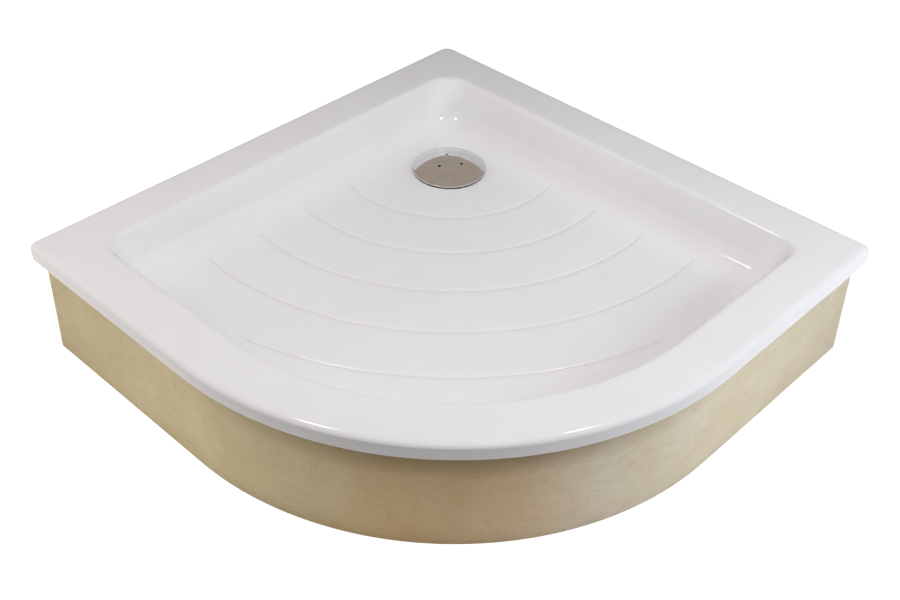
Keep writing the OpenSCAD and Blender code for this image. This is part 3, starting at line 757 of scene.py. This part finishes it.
# %% Pieces from trees and from sections
def made_by(tree, name, finish_name, source, values, sharp=40):
    """Runs a tree on a source piece, removes the source and returns the result as a piece."""
    bpy.context.view_layer.update()
    mesh = run_tree(name, tree, {**values, "Source": source, "Finish": material_named(finish_name)})
    bpy.data.objects.remove(source)
    result = bpy.data.objects.new(name, mesh)
    scene.collection.objects.link(result)
    smooth(mesh, sharp)
    sides = np.zeros(len(mesh.loops), np.int32)
    mesh.loops.foreach_get("edge_index", sides)
    open_edges = int((np.bincount(sides, minlength=len(mesh.edges)) != 2).sum())
    print(name, len(mesh.polygons), "faces,", open_edges, "open edges")
    return result


def solid_of(name, section_points, steps=120, centre=CENTRE):
    """A closed solid turned from a section. A row at radius 0 becomes one point."""
    bm = bmesh.new()
    add_faces(bm, *turned(section_points, steps, centre))
    return piece(name, bm)


# %% [markdown]
# ## The chromed cover
# A pressed brass disc, domed by 11 mm, with a rounded edge that turns down to the floor and three
# small holes. It is turned from its section: the dome's arc, the edge's small arc, the upright
# edge and the dome's underside. The holes come afterwards from the punching tree.

# %% Cover
COVER_R, COVER_RISE, COVER_EDGE, COVER_T = 0.0565, 0.011, 0.0015, 0.0012
COVER_LOW = APEX + SLOPE * COVER_R + 0.003
COVER_TURN = math.radians(26)
COVER_HOLES, COVER_HOLE_CIRCLE, COVER_HOLE_R = 3, 0.020, 0.0022
COVER_STEPS = 172   # with 160, an edge ran so close to a drill that a lid stayed over one hole
dome_r = (COVER_R ** 2 + COVER_RISE ** 2) / (2 * COVER_RISE)
dome_z = COVER_LOW + COVER_EDGE + COVER_RISE - dome_r
edge_soft = 0.0014


def dome(r, radius):
    return dome_z + math.sqrt(radius ** 2 - r ** 2)


edge_tilt = math.asin((COVER_R - edge_soft) / dome_r)
edge_start = COVER_R - edge_soft * (1 - math.sin(edge_tilt))
edge_z = dome(COVER_R - edge_soft, dome_r) - edge_soft * math.cos(edge_tilt) - 0.0001
cover_rows = [(r, dome(r, dome_r)) for r in np.linspace(0, edge_start, 46)]
cover_rows += [(COVER_R - edge_soft + edge_soft * math.sin(a), edge_z + edge_soft * math.cos(a))
               for a in np.linspace(edge_tilt, math.pi / 2, 9)[1:]]
low_soft = 0.0004
cover_rows += [(COVER_R, COVER_LOW + low_soft), (COVER_R - low_soft / 2, COVER_LOW),
               (COVER_R - COVER_T + low_soft / 2, COVER_LOW),
               (COVER_R - COVER_T, COVER_LOW + low_soft)]
cover_rows += [(r, dome(r, dome_r - COVER_T)) for r in np.linspace(COVER_R - COVER_T, 0, 24)]
plate = solid_of("cover plate", cover_rows, COVER_STEPS)
waste_cap = made_by(punch, "waste_cap", "polished_chrome", plate, {
    "Holes": COVER_HOLES, "Circle radius": COVER_HOLE_CIRCLE, "Hole radius": COVER_HOLE_R,
    "Turn": COVER_TURN,
    "Centre": (float(CENTRE[0]), float(CENTRE[1]), dome_z + dome_r), "Depth": 0.03}, sharp=50)

# %% [markdown]
# ## The strainer
# It shows once the cover is lifted off: a thin plastic disc with a knob and three circles of
# holes. The disc is turned, and the punching tree runs once for each circle.

# %% Strainer
STRAINER_R, STRAINER_Z, STRAINER_T, STRAINER_HOLE = 0.0301, 0.092, 0.0016, 0.0021
KNOB_R, NECK_R, KNOB_TOP = 0.006, 0.004, STRAINER_Z + 0.008
low, high, fillet = STRAINER_Z, STRAINER_Z + STRAINER_T, 0.0004
strainer_rows = [(0, low), (STRAINER_R - fillet, low), (STRAINER_R, low + fillet),
                 (STRAINER_R, high - fillet), (STRAINER_R - fillet, high), (NECK_R + 0.001, high)]
strainer_rows += [(NECK_R + 0.001 * (1 - math.sin(a)), high + 0.001 * (1 - math.cos(a)))
                  for a in quarter(4)[1:]]
strainer_rows += [(NECK_R, KNOB_TOP - 0.0028), (KNOB_R - 0.0008, KNOB_TOP - 0.0025)]
strainer_rows += [(KNOB_R - 0.0008 + 0.0008 * math.cos(a), KNOB_TOP - 0.0012 + 0.0010 * math.sin(a))
                  for a in np.linspace(-math.pi / 2, math.pi / 2, 9)]
strainer_rows += [(0.002, KNOB_TOP - 0.0001), (0, KNOB_TOP - 0.0001)]
strainer_plate = solid_of("strainer plate", strainer_rows, 96)
STRAINER_CIRCLES = ((8, 0.0115), (12, 0.0185), (16, 0.0255))
for count, circle_r in STRAINER_CIRCLES:
    strainer_plate = made_by(punch, "strainer_plate", "grey_polypropylene", strainer_plate, {
        "Holes": count, "Circle radius": circle_r, "Hole radius": STRAINER_HOLE, "Turn": 0.0,
        "Centre": (float(CENTRE[0]), float(CENTRE[1]), STRAINER_Z), "Depth": 0.006})

# %% [markdown]
# ## The screws
# Three pan-head screws clamp the flange. One is turned with its thread as plain rings, which
# looks the same at this size and stays light, and gets a hexagon socket from a Boolean. The
# repeating tree then sets three of them on their circle.

# %% Screws
SCREW_CIRCLE_R, SCREW_TURN, SCREWS = 0.036, math.radians(15), 3
LEDGE_TOP, SHANK_R, SHANK_LEN = 0.093, 0.00245, 0.014
HEAD_R, HEAD_H, SOCKET_R = 0.0042, 0.0028, 0.0022
THREAD_PITCH, THREAD_D = 0.0008, 0.0003
tip = -SHANK_LEN
screw_rows = [(0, tip), (SHANK_R - 0.0008, tip), (SHANK_R, tip + 0.0008)]
turns = int((SHANK_LEN - 0.002) / THREAD_PITCH)
for k in range(turns):
    z = tip + 0.001 + THREAD_PITCH * k
    screw_rows += [(SHANK_R, z), (SHANK_R - THREAD_D, z + THREAD_PITCH / 2)]
screw_rows += [(SHANK_R, -0.0006), (SHANK_R, 0), (HEAD_R - 0.0003, 0), (HEAD_R, 0.0003),
               (HEAD_R, HEAD_H - 0.0012)]
screw_rows += [(HEAD_R - 0.0012 * (1 - math.cos(a)), HEAD_H - 0.0012 * (1 - math.sin(a)))
               for a in quarter(5)[1:]]
screw_rows += [(0, HEAD_H)]
screw = solid_of("screw", screw_rows, 32, np.zeros(2))
six = arc((0, 0), SOCKET_R, 0, 360, 6)[:-1]
socket = [(x, y, z) for z in (HEAD_H / 2, HEAD_H + 0.001) for x, y in six]
socket_faces = [(i, (i + 1) % 6, 6 + (i + 1) % 6, 6 + i) for i in range(6)]
cut_away(screw, socket, socket_faces + [tuple(range(6)), tuple(range(11, 5, -1))])
screw_set = made_by(repeat, "screw_set", "zinc_plate", screw, {
    "Count": SCREWS, "Radius": SCREW_CIRCLE_R, "Turn": SCREW_TURN,
    "Centre": (float(CENTRE[0]), float(CENTRE[1]), LEDGE_TOP)}, sharp=30)

# %% [markdown]
# ## Shared shader groups
# Plastic, foam and metal here never show one flat colour. Three small groups carry what they
# share: a colour that drifts between two shades, a roughness that drifts round a value, and a
# fine relief for the Height of a Bump node. Each material sets its own scales and shades.


# %% Shader helpers
def object_noise(tree, place, scale, detail=3.0, roughness=0.55, distortion=0.0):
    return node(tree, "ShaderNodeTexNoise", {
        "Vector": place, "Scale": scale, "Detail": detail, "Roughness": roughness,
        "Distortion": distortion}).outputs["Fac"]


def stretched(tree, value, low, high, to_low=0.0, to_high=1.0):
    """Maps the range from low to high onto to_low to to_high, and holds it there."""
    return node(tree, "ShaderNodeMapRange", {
        "Value": value, "From Min": low, "From Max": high,
        "To Min": to_low, "To Max": to_high}).outputs[0]


def blended(tree, share, one, other, blend_type="MIX"):
    """Mixes two colours. A share of 0 gives one and a share of 1 gives the other."""
    return node(tree, "ShaderNodeMix", {"Factor": share, 6: one, 7: other},
                data_type="RGBA", blend_type=blend_type).outputs[2]


def feeding(shader, label):
    """The socket that feeds one of the shader's inputs so far."""
    return shader.inputs[label].links[0].from_socket


# %% Shader groups
drift, g_in, g_out = new_tree("drifting colour", "ShaderNodeTree", [
    ("Colour", "OUTPUT", "NodeSocketColor", None),
    ("Place", "INPUT", "NodeSocketVector", None), ("Scale", "INPUT", "NodeSocketFloat", 20.0),
    ("One", "INPUT", "NodeSocketColor", None), ("Other", "INPUT", "NodeSocketColor", None),
    ("Low", "INPUT", "NodeSocketFloat", 0.35), ("High", "INPUT", "NodeSocketFloat", 0.65)])
cloud = object_noise(drift, g_in.outputs["Place"], g_in.outputs["Scale"], 4.0, 0.6, 0.4)
share = stretched(drift, cloud, g_in.outputs["Low"], g_in.outputs["High"])
drift.links.new(blended(drift, share, g_in.outputs["One"], g_in.outputs["Other"]),
                g_out.inputs["Colour"])

wear, g_in, g_out = new_tree("drifting roughness", "ShaderNodeTree", [
    ("Roughness", "OUTPUT", "NodeSocketFloat", None),
    ("Place", "INPUT", "NodeSocketVector", None), ("Scale", "INPUT", "NodeSocketFloat", 30.0),
    ("Least", "INPUT", "NodeSocketFloat", 0.1), ("Most", "INPUT", "NodeSocketFloat", 0.2)])
smears = object_noise(wear, g_in.outputs["Place"], g_in.outputs["Scale"], 5.0, 0.65, 0.6)
wear.links.new(stretched(wear, smears, 0.35, 0.7, g_in.outputs["Least"], g_in.outputs["Most"]),
               g_out.inputs["Roughness"])

relief, g_in, g_out = new_tree("fine relief", "ShaderNodeTree", [
    ("Height", "OUTPUT", "NodeSocketFloat", None),
    ("Place", "INPUT", "NodeSocketVector", None), ("Broad", "INPUT", "NodeSocketFloat", 40.0),
    ("Fine", "INPUT", "NodeSocketFloat", 400.0), ("Fine share", "INPUT", "NodeSocketFloat", 0.4)])
broad = object_noise(relief, g_in.outputs["Place"], g_in.outputs["Broad"], 2.0)
grain = object_noise(relief, g_in.outputs["Place"], g_in.outputs["Fine"], 3.0, 0.6)
relief.links.new(maths(relief, "MULTIPLY_ADD", grain, g_in.outputs["Fine share"], broad),
                 g_out.inputs["Height"])
print("shader groups:", ", ".join(group.name for group in (drift, wear, relief)))

# %% [markdown]
# ## One recipe for most finishes
# Most finishes differ only in their numbers, so one function builds them all. Noise textures
# could be wired by hand for each, but then a fault would have to be mended seven times.


# %% Finish recipe
def group_node(tree, group, links):
    placed = tree.nodes.new("ShaderNodeGroup")
    placed.node_tree = group
    for key, value in links.items():
        if isinstance(value, bpy.types.NodeSocket):
            tree.links.new(value, placed.inputs[key])
        else:
            placed.inputs[key].default_value = value
    return placed


def finish(name, one, other, scale, rough, rough_scale, broad, fine, fine_share, bump, **plain):
    """A material on a Principled shader that drifts from colour one to the other.

    scale and rough_scale are the sizes of the two drifts, rough the least and the most
    roughness, broad and fine the scales of the relief, and bump its strength. plain sets the
    shader's own sockets."""
    material = material_named(name)
    material.use_nodes = True
    tree = material.node_tree
    shader = tree.nodes["Principled BSDF"]
    for key, value in plain.items():
        shader.inputs[key].default_value = value
    place = tree.nodes.new("ShaderNodeTexCoord").outputs["Object"]
    colour = group_node(tree, drift, {
        "Place": place, "Scale": scale, "One": (*one, 1), "Other": (*other, 1)})
    tree.links.new(colour.outputs["Colour"], shader.inputs["Base Color"])
    roughness = group_node(tree, wear, {
        "Place": place, "Scale": rough_scale, "Least": rough[0], "Most": rough[1]})
    tree.links.new(roughness.outputs[0], shader.inputs["Roughness"])
    height = group_node(tree, relief, {
        "Place": place, "Broad": broad, "Fine": fine, "Fine share": fine_share})
    lift = node(tree, "ShaderNodeBump", {
        "Strength": bump, "Distance": 0.0002, "Height": height.outputs[0]})
    tree.links.new(lift.outputs[0], shader.inputs["Normal"])
    return material


# %% [markdown]
# ## White acrylic
# Thermoformed acrylic is glossy with a very faint waviness. In the grooves the gloss is broken, so
# the groove attribute makes the surface duller there and mixes in a greyer colour as painted shade.

# %% Acrylic
acrylic = finish("white_acrylic", (0.86, 0.855, 0.86), (0.88, 0.878, 0.886), 9.0,
                 (0.07, 0.12), 26.0, 60.0, 900.0, 0.05, 0.03)
# The greyer colour mixed into the grooves is painted shade at their bottoms; the added roughness is
# the broken gloss.
GROOVE_SHADE, GROOVE_DULL, GROOVE_PAINTED_SHADE = 0.45, 0.3, (0.60, 0.57, 0.56, 1)
tree = acrylic.node_tree
shader = tree.nodes["Principled BSDF"]
groove = node(tree, "ShaderNodeAttribute", attribute_name="groove").outputs["Fac"]
shaded = blended(tree, maths(tree, "MULTIPLY", groove, GROOVE_SHADE),
                 feeding(shader, "Base Color"), GROOVE_PAINTED_SHADE)
tree.links.new(shaded, shader.inputs["Base Color"])
duller = maths(tree, "MULTIPLY_ADD", groove, GROOVE_DULL, feeding(shader, "Roughness"))
tree.links.new(duller, shader.inputs["Roughness"])
print("acrylic:", len(tree.nodes), "nodes")

# %% [markdown]
# ## Chrome
# The plating is a clean mirror with slight smears. The walls of the small punched holes get a near
# black colour as painted shade, and a duller surface. The material finds those walls by their
# distance from the three upright hole axes, in the cover's own coordinates, so they stay dark when
# the cover is lifted off.

# %% Chrome
chrome = finish("polished_chrome", (0.78, 0.79, 0.81), (0.72, 0.72, 0.735), 60.0,
                (0.035, 0.08), 140.0, 90.0, 1600.0, 0.1, 0.02, Metallic=1.0)
# The near-black colour mixed into the hole walls is painted shade.
HOLE_PAINTED_SHADE, HOLE_DULL = (0.03, 0.03, 0.03, 1), 0.5
tree = chrome.node_tree
shader = tree.nodes["Principled BSDF"]
place = tree.nodes.new("ShaderNodeTexCoord").outputs["Object"]
level_place = vector_maths(tree, "MULTIPLY", place, (1, 1, 0))
to_axis = 1.0
for k in range(COVER_HOLES):
    angle = COVER_TURN + k * 2 * math.pi / COVER_HOLES
    axis = (CENTRE[0] + COVER_HOLE_CIRCLE * math.cos(angle),
            CENTRE[1] + COVER_HOLE_CIRCLE * math.sin(angle), 0)
    away = node(tree, "ShaderNodeVectorMath", {0: level_place, 1: axis}, operation="DISTANCE")
    to_axis = maths(tree, "MINIMUM", away.outputs["Value"], to_axis)
in_hole = stretched(tree, to_axis, COVER_HOLE_R + 0.0001, COVER_HOLE_R + 0.0002, 1, 0)
tree.links.new(blended(tree, in_hole, feeding(shader, "Base Color"), HOLE_PAINTED_SHADE),
               shader.inputs["Base Color"])
duller = maths(tree, "MULTIPLY_ADD", in_hole, HOLE_DULL, feeding(shader, "Roughness"))
tree.links.new(duller, shader.inputs["Roughness"])
print("chrome:", len(tree.nodes), "nodes")

# %% [markdown]
# ## Zinc plate, brass, rubber and polypropylene
# The hidden pieces are duller and grained. They show only with the cover and the insert lifted
# out, but each still gets two shades and a fine relief, because plain grey reads as unfinished.

# %% Finishes of the waste and trap
zinc = finish("zinc_plate", (0.66, 0.67, 0.69), (0.56, 0.57, 0.60), 120.0,
              (0.22, 0.38), 300.0, 300.0, 2500.0, 0.5, 0.15, Metallic=1.0)
brass = finish("brass", (0.74, 0.56, 0.28), (0.60, 0.44, 0.21), 150.0,
               (0.25, 0.42), 300.0, 300.0, 2500.0, 0.5, 0.15, Metallic=1.0)
rubber = finish("black_rubber", (0.018, 0.018, 0.019), (0.034, 0.033, 0.034), 90.0,
                (0.55, 0.75), 200.0, 200.0, 2200.0, 0.5, 0.25)
white_plastic = finish("white_polypropylene", (0.74, 0.74, 0.725), (0.79, 0.79, 0.78), 40.0,
                       (0.32, 0.48), 120.0, 120.0, 1800.0, 0.5, 0.12)
grey_plastic = finish("grey_polypropylene", (0.045, 0.048, 0.053), (0.06, 0.064, 0.07), 60.0,
                      (0.38, 0.52), 150.0, 150.0, 2000.0, 0.5, 0.15)
recipe_finishes = acrylic, chrome, zinc, brass, rubber, white_plastic, grey_plastic
print("finishes:", ", ".join(material.name for material in recipe_finishes))

# %% [markdown]
# ## Foam
# The block has a moulded skin: beige, cloudy, with darker drag streaks where the foam flowed
# along the mould, and small dark pores. The shades come from noise in the object's own
# coordinates, so they stay put when the block is seen from behind.

# %% Clouds, streaks and pores
STREAK, PORE = (0.70, 0.58, 0.38, 1), (0.33, 0.25, 0.14, 1)
pu_foam = material_named("pu_foam")
pu_foam.use_nodes = True
tree = pu_foam.node_tree
shader = tree.nodes["Principled BSDF"]
shader.inputs["Specular IOR Level"].default_value = 0.25
place = tree.nodes.new("ShaderNodeTexCoord").outputs["Object"]
clouds = group_node(tree, drift, {
    "Place": place, "Scale": 11.0, "One": (0.84, 0.74, 0.53, 1), "Other": (0.91, 0.84, 0.66, 1),
    "Low": 0.32, "High": 0.68})
flow = node(tree, "ShaderNodeMapping", {"Vector": place, "Scale": (1.0, 1.0, 3.5)}).outputs[0]
streaks = stretched(tree, object_noise(tree, flow, 30.0, 5.0, 0.65, 1.2), 0.42, 0.72)
streaked = blended(tree, maths(tree, "MULTIPLY", streaks, 0.3), clouds.outputs["Colour"], STREAK)
cells = node(tree, "ShaderNodeTexVoronoi", {"Vector": place, "Scale": 260.0}).outputs["Distance"]
pore_here = stretched(tree, object_noise(tree, place, 90.0, 2.0), 0.56, 0.66)
pores = maths(tree, "MULTIPLY", stretched(tree, cells, 0.32, 0.18), pore_here)
pored = blended(tree, maths(tree, "MULTIPLY", pores, 0.5), streaked, PORE)

# %% [markdown]
# ## Tones of the skin, with painted light and shade
# Moulded skin is seldom one tone. A colour ramp along the quadrant's own diagonal tints this one:
# yellower to the left, browner and darker in the middle of the bow, lighter and greyer to the
# right.
# That is partly the skin's own tone and partly painted light and shade, darker in the front and
# lighter on the right where the right lamp falls. The two side corners are made darker, and under
# the lip in front a painted shadow of the lip darkens the skin towards the joint.

# %% Skin tones with painted light and shade
# The ramp's tones are partly the skin's own and partly painted light and shade.
TONE_AND_LIGHT_LEFT, TONE_AND_SHADE_MIDDLE, TONE_AND_LIGHT_RIGHT = (1.15, 0.965, 0.81), (0.87, 0.71, 0.45), (1.12, 1.04, 1.11)
TONE_AND_LIGHT_STOPS = ((0.0, TONE_AND_LIGHT_LEFT), (0.34, TONE_AND_LIGHT_LEFT), (0.5, TONE_AND_SHADE_MIDDLE), (0.66, TONE_AND_LIGHT_RIGHT),
              (1.0, TONE_AND_LIGHT_RIGHT))
DIAGONAL, CORNER_REACH = (0.7071, 0.7071, 0), 0.55
across = node(tree, "ShaderNodeVectorMath", {0: place, 1: DIAGONAL},
              operation="DOT_PRODUCT").outputs["Value"]
skin = tree.nodes.new("ShaderNodeValToRGB")
tree.links.new(stretched(tree, across, -CORNER_REACH, CORNER_REACH), skin.inputs["Fac"])
skin.color_ramp.interpolation = "B_SPLINE"
stops = skin.color_ramp.elements
for index, (where, tone) in enumerate(TONE_AND_LIGHT_STOPS):
    stop = stops[index] if index < 2 else stops.new(where)
    stop.position, stop.color = where, (*tone, 1)
toned_and_lit = blended(tree, 1.0, pored, skin.outputs["Color"], "MULTIPLY")
SIDE_CORNER_DARKENING, LIP_SHADOW = (0.80, 0.79, 0.78, 1), (0.34, 0.25, 0.13, 1)
off_front = maths(tree, "ABSOLUTE", across)
# The two side corners of the block are made darker by a multiply.
corners_darkened = blended(tree, stretched(tree, off_front, 0.36, 0.54), toned_and_lit, SIDE_CORNER_DARKENING, "MULTIPLY")
# Below here a painted shadow of the lip darkens the skin just under the lip in front.
heights = node(tree, "ShaderNodeSeparateXYZ", {"Vector": place}).outputs["Z"]
under_lip = stretched(tree, heights, 0.112, 0.144)
in_front = stretched(tree, off_front, 0.36, 0.10, 0, 0.78)
lip_shadowed = blended(tree, maths(tree, "MULTIPLY", under_lip, in_front), corners_darkened, LIP_SHADOW)
tree.links.new(lip_shadowed, shader.inputs["Base Color"])

# %% Foam surface
dull = group_node(tree, wear, {"Place": place, "Scale": 40.0, "Least": 0.62, "Most": 0.85})
tree.links.new(dull.outputs[0], shader.inputs["Roughness"])
skin_relief = group_node(tree, relief, {
    "Place": place, "Broad": 55.0, "Fine": 700.0, "Fine share": 0.35})
height = maths(tree, "SUBTRACT", skin_relief.outputs[0], pores)
lift = node(tree, "ShaderNodeBump", {"Strength": 0.35, "Distance": 0.0006, "Height": height})
tree.links.new(lift.outputs[0], shader.inputs["Normal"])
print("foam finish:", len(tree.nodes), "nodes")

# %% [markdown]
# ## Every piece gets its finish and its body
# CAD nodes that stay only get a material.

# %% Riding and replacing
DRESSED = (
    (shell_skin, "tray", "acrylic_shell", "acrylic", acrylic),
    (foam_block, "tray", "foam_body", "foam", pu_foam),
    (screw_set, "tray", "flange_screws", "steel", zinc),
    (waste_cap, "cover", "waste_cover", "chrome", chrome),
    (strainer_plate, "insert", "hair_strainer", "grey_plastic", grey_plastic),
)
for made, body, stands_for, slot, material in DRESSED:
    made.data.materials.clear()
    made.data.materials.append(material)
    made.data.polygons.foreach_set("material_index", [0] * len(made.data.polygons))
    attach(made, body)
    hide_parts(stands_for)
KEPT = {
    "waste_flange": zinc, "screw_inserts": brass, "upper_seal": rubber, "lower_seal": rubber,
    "ball_seal": rubber, "insert_o_ring": rubber, "trap_body": white_plastic,
    "outlet_ball": white_plastic, "union_nut": white_plastic, "slip_ring": white_plastic,
    "trap_insert": grey_plastic, "cover_carrier": grey_plastic,
}
for name, material in KEPT.items():
    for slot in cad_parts[name].material_slots:
        slot.material = material
print("dressed", len(DRESSED), "pieces, finished", len(KEPT), "CAD nodes")

# %% [markdown]
# ## Floor
# The background of the photograph is plain white. The floor is white paper that also glows, but
# only to the camera and to mirrors. To everything else it is paper at a plain level, so it
# looks white without throwing more light on the tray, and it still keeps the tray's shadow.

# %% Floor
FLOOR_REACH, PAPER, GLOW, MIRRORED_GLOW = 6, 0.86, 0.85, 0.6
floor_mesh = bpy.data.meshes.new("studio_floor")
floor_mesh.from_pydata([(x * FLOOR_REACH, y * FLOOR_REACH, 0)
                        for x, y in ((-1, -1), (1, -1), (1, 1), (-1, 1))], [], [(0, 1, 2, 3)])
studio_floor = bpy.data.objects.new("studio_floor", floor_mesh)
scene.collection.objects.link(studio_floor)
paper = bpy.data.materials.new("floor_paper")
paper.use_nodes = True
tree = paper.node_tree
shader = tree.nodes["Principled BSDF"]
shader.inputs["Base Color"].default_value = (PAPER, PAPER, PAPER, 1)
shader.inputs["Roughness"].default_value = 0.9
shader.inputs["Emission Color"].default_value = (1, 1, 1, 1)
rays = tree.nodes.new("ShaderNodeLightPath").outputs
mirrored = maths(tree, "MAXIMUM", rays["Is Transmission Ray"], rays["Is Glossy Ray"])
glow = maths(tree, "MULTIPLY", rays["Is Camera Ray"], GLOW)
tree.links.new(maths(tree, "MULTIPLY_ADD", mirrored, MIRRORED_GLOW, glow),
               shader.inputs["Emission Strength"])
floor_mesh.materials.append(paper)
print("floor:", 2 * FLOOR_REACH, "m square")

# %% [markdown]
# ## World
# A white world behind the floor closes the backdrop. The light path lets the camera and the
# mirrors see it at strength 1, and everything else at WORLD_LEVEL, so the lamps alone light the
# tray. A backdrop wall would do too, but from another side it could stand in the view.

# %% World
WORLD_LEVEL = 0.0
world = bpy.data.worlds.new("studio")
scene.world = world
world.use_nodes = True
tree = world.node_tree
background = tree.nodes["Background"]
rays = tree.nodes.new("ShaderNodeLightPath").outputs
seen = maths(tree, "MAXIMUM", rays["Is Camera Ray"], rays["Is Glossy Ray"])
seen = maths(tree, "MAXIMUM", seen, rays["Is Transmission Ray"])
tree.links.new(stretched(tree, seen, 0.0, 1.0, WORLD_LEVEL, 1.0), background.inputs["Strength"])
background.inputs["Color"].default_value = (1, 1, 1, 1)
print("world level for the tray:", WORLD_LEVEL)

# %% [markdown]
# ## Lamps
# Three broad lamps light the tray: one from above, and one low on each side, so that the front
# lip falls into shade as in the photograph. They don't show in the gloss. Two small lamps high
# up do, and they alone make the sharp highlights on the corners and the rim. Each lamp is placed
# as the viewer sees it: so far to the right, so far towards the viewer, and so high.


# %% Lamps
TO_RIGHT = Vector((0.7296, 0.6840, 0))
TO_VIEWER = Vector((0.6840, -0.7296, 0))
TRAY_MIDDLE = Vector((0, 0, 0.1))


def lamp(name, right, near, high, size, power, colour=(1, 1, 1), mirrored=False):
    """A soft lamp placed as the viewer sees it, aimed at the tray."""
    data = bpy.data.lights.new(name, "AREA")
    data.shape, data.size = "SQUARE", size
    data.energy, data.color = power, colour
    made = bpy.data.objects.new(name, data)
    made.visible_glossy = mirrored
    made.location = TO_RIGHT * right + TO_VIEWER * near + Vector((0, 0, high))
    made.rotation_euler = (TRAY_MIDDLE - made.location).to_track_quat("-Z", "Y").to_euler()
    scene.collection.objects.link(made)
    print(name, power, "W")


lamp("lamp_over", 0, 0.4, 1.7, 0.9, 14.7, (1.0, 0.965, 0.96))
lamp("lamp_left", -1.3, 0.2, 0.6, 0.9, 5.3, (1.0, 0.945, 0.91))
lamp("lamp_right", 1.3, 0.4, 0.7, 0.5, 8.0, (0.90, 0.93, 1.0))
lamp("high_left", -0.55, 0.04, 1.55, 0.17, 1.9, mirrored=True)
lamp("high_right", 0.55, 0.04, 1.55, 0.12, 1.6, mirrored=True)

# %% [markdown]
# ## Ceiling card
# Polished chrome shows its surroundings. The brown-grey field on the cover is the mirror image
# of something dull overhead, so a card hangs there. Only glossy rays see it, so it throws
# neither light nor shadow.

# %% Ceiling card
CARD_CORNER, CARD_SIDE, CARD_HIGH, CARD_GREY = 6.5, 9.2, 1.62, (0.40, 0.335, 0.28, 1)
card_mesh = bpy.data.meshes.new("ceiling_card")
card_mesh.from_pydata([(-CARD_CORNER + x * CARD_SIDE, CARD_CORNER - y * CARD_SIDE, CARD_HIGH)
                       for x, y in ((0, 0), (0, 1), (1, 1), (1, 0))], [], [(0, 1, 2, 3)])
ceiling_card = bpy.data.objects.new("ceiling_card", card_mesh)
scene.collection.objects.link(ceiling_card)
for ray in ("camera", "diffuse", "transmission", "volume_scatter", "shadow"):
    setattr(ceiling_card, "visible_" + ray, False)
card_paint = bpy.data.materials.new("card_paint")
card_paint.use_nodes = True
shader = card_paint.node_tree.nodes["Principled BSDF"]
shader.inputs["Base Color"].default_value = (0, 0, 0, 1)
shader.inputs["Specular IOR Level"].default_value = 0
shader.inputs["Emission Color"].default_value = CARD_GREY
shader.inputs["Emission Strength"].default_value = 1
card_mesh.materials.append(card_paint)
print("card:", CARD_SIDE, "m square at", CARD_HIGH, "m")

# %% [markdown]
# ## View settings
# Colours are shown as written, with no film curve.

# %% Finish
scene.view_settings.view_transform = "Standard"
bpy.context.view_layer.update()
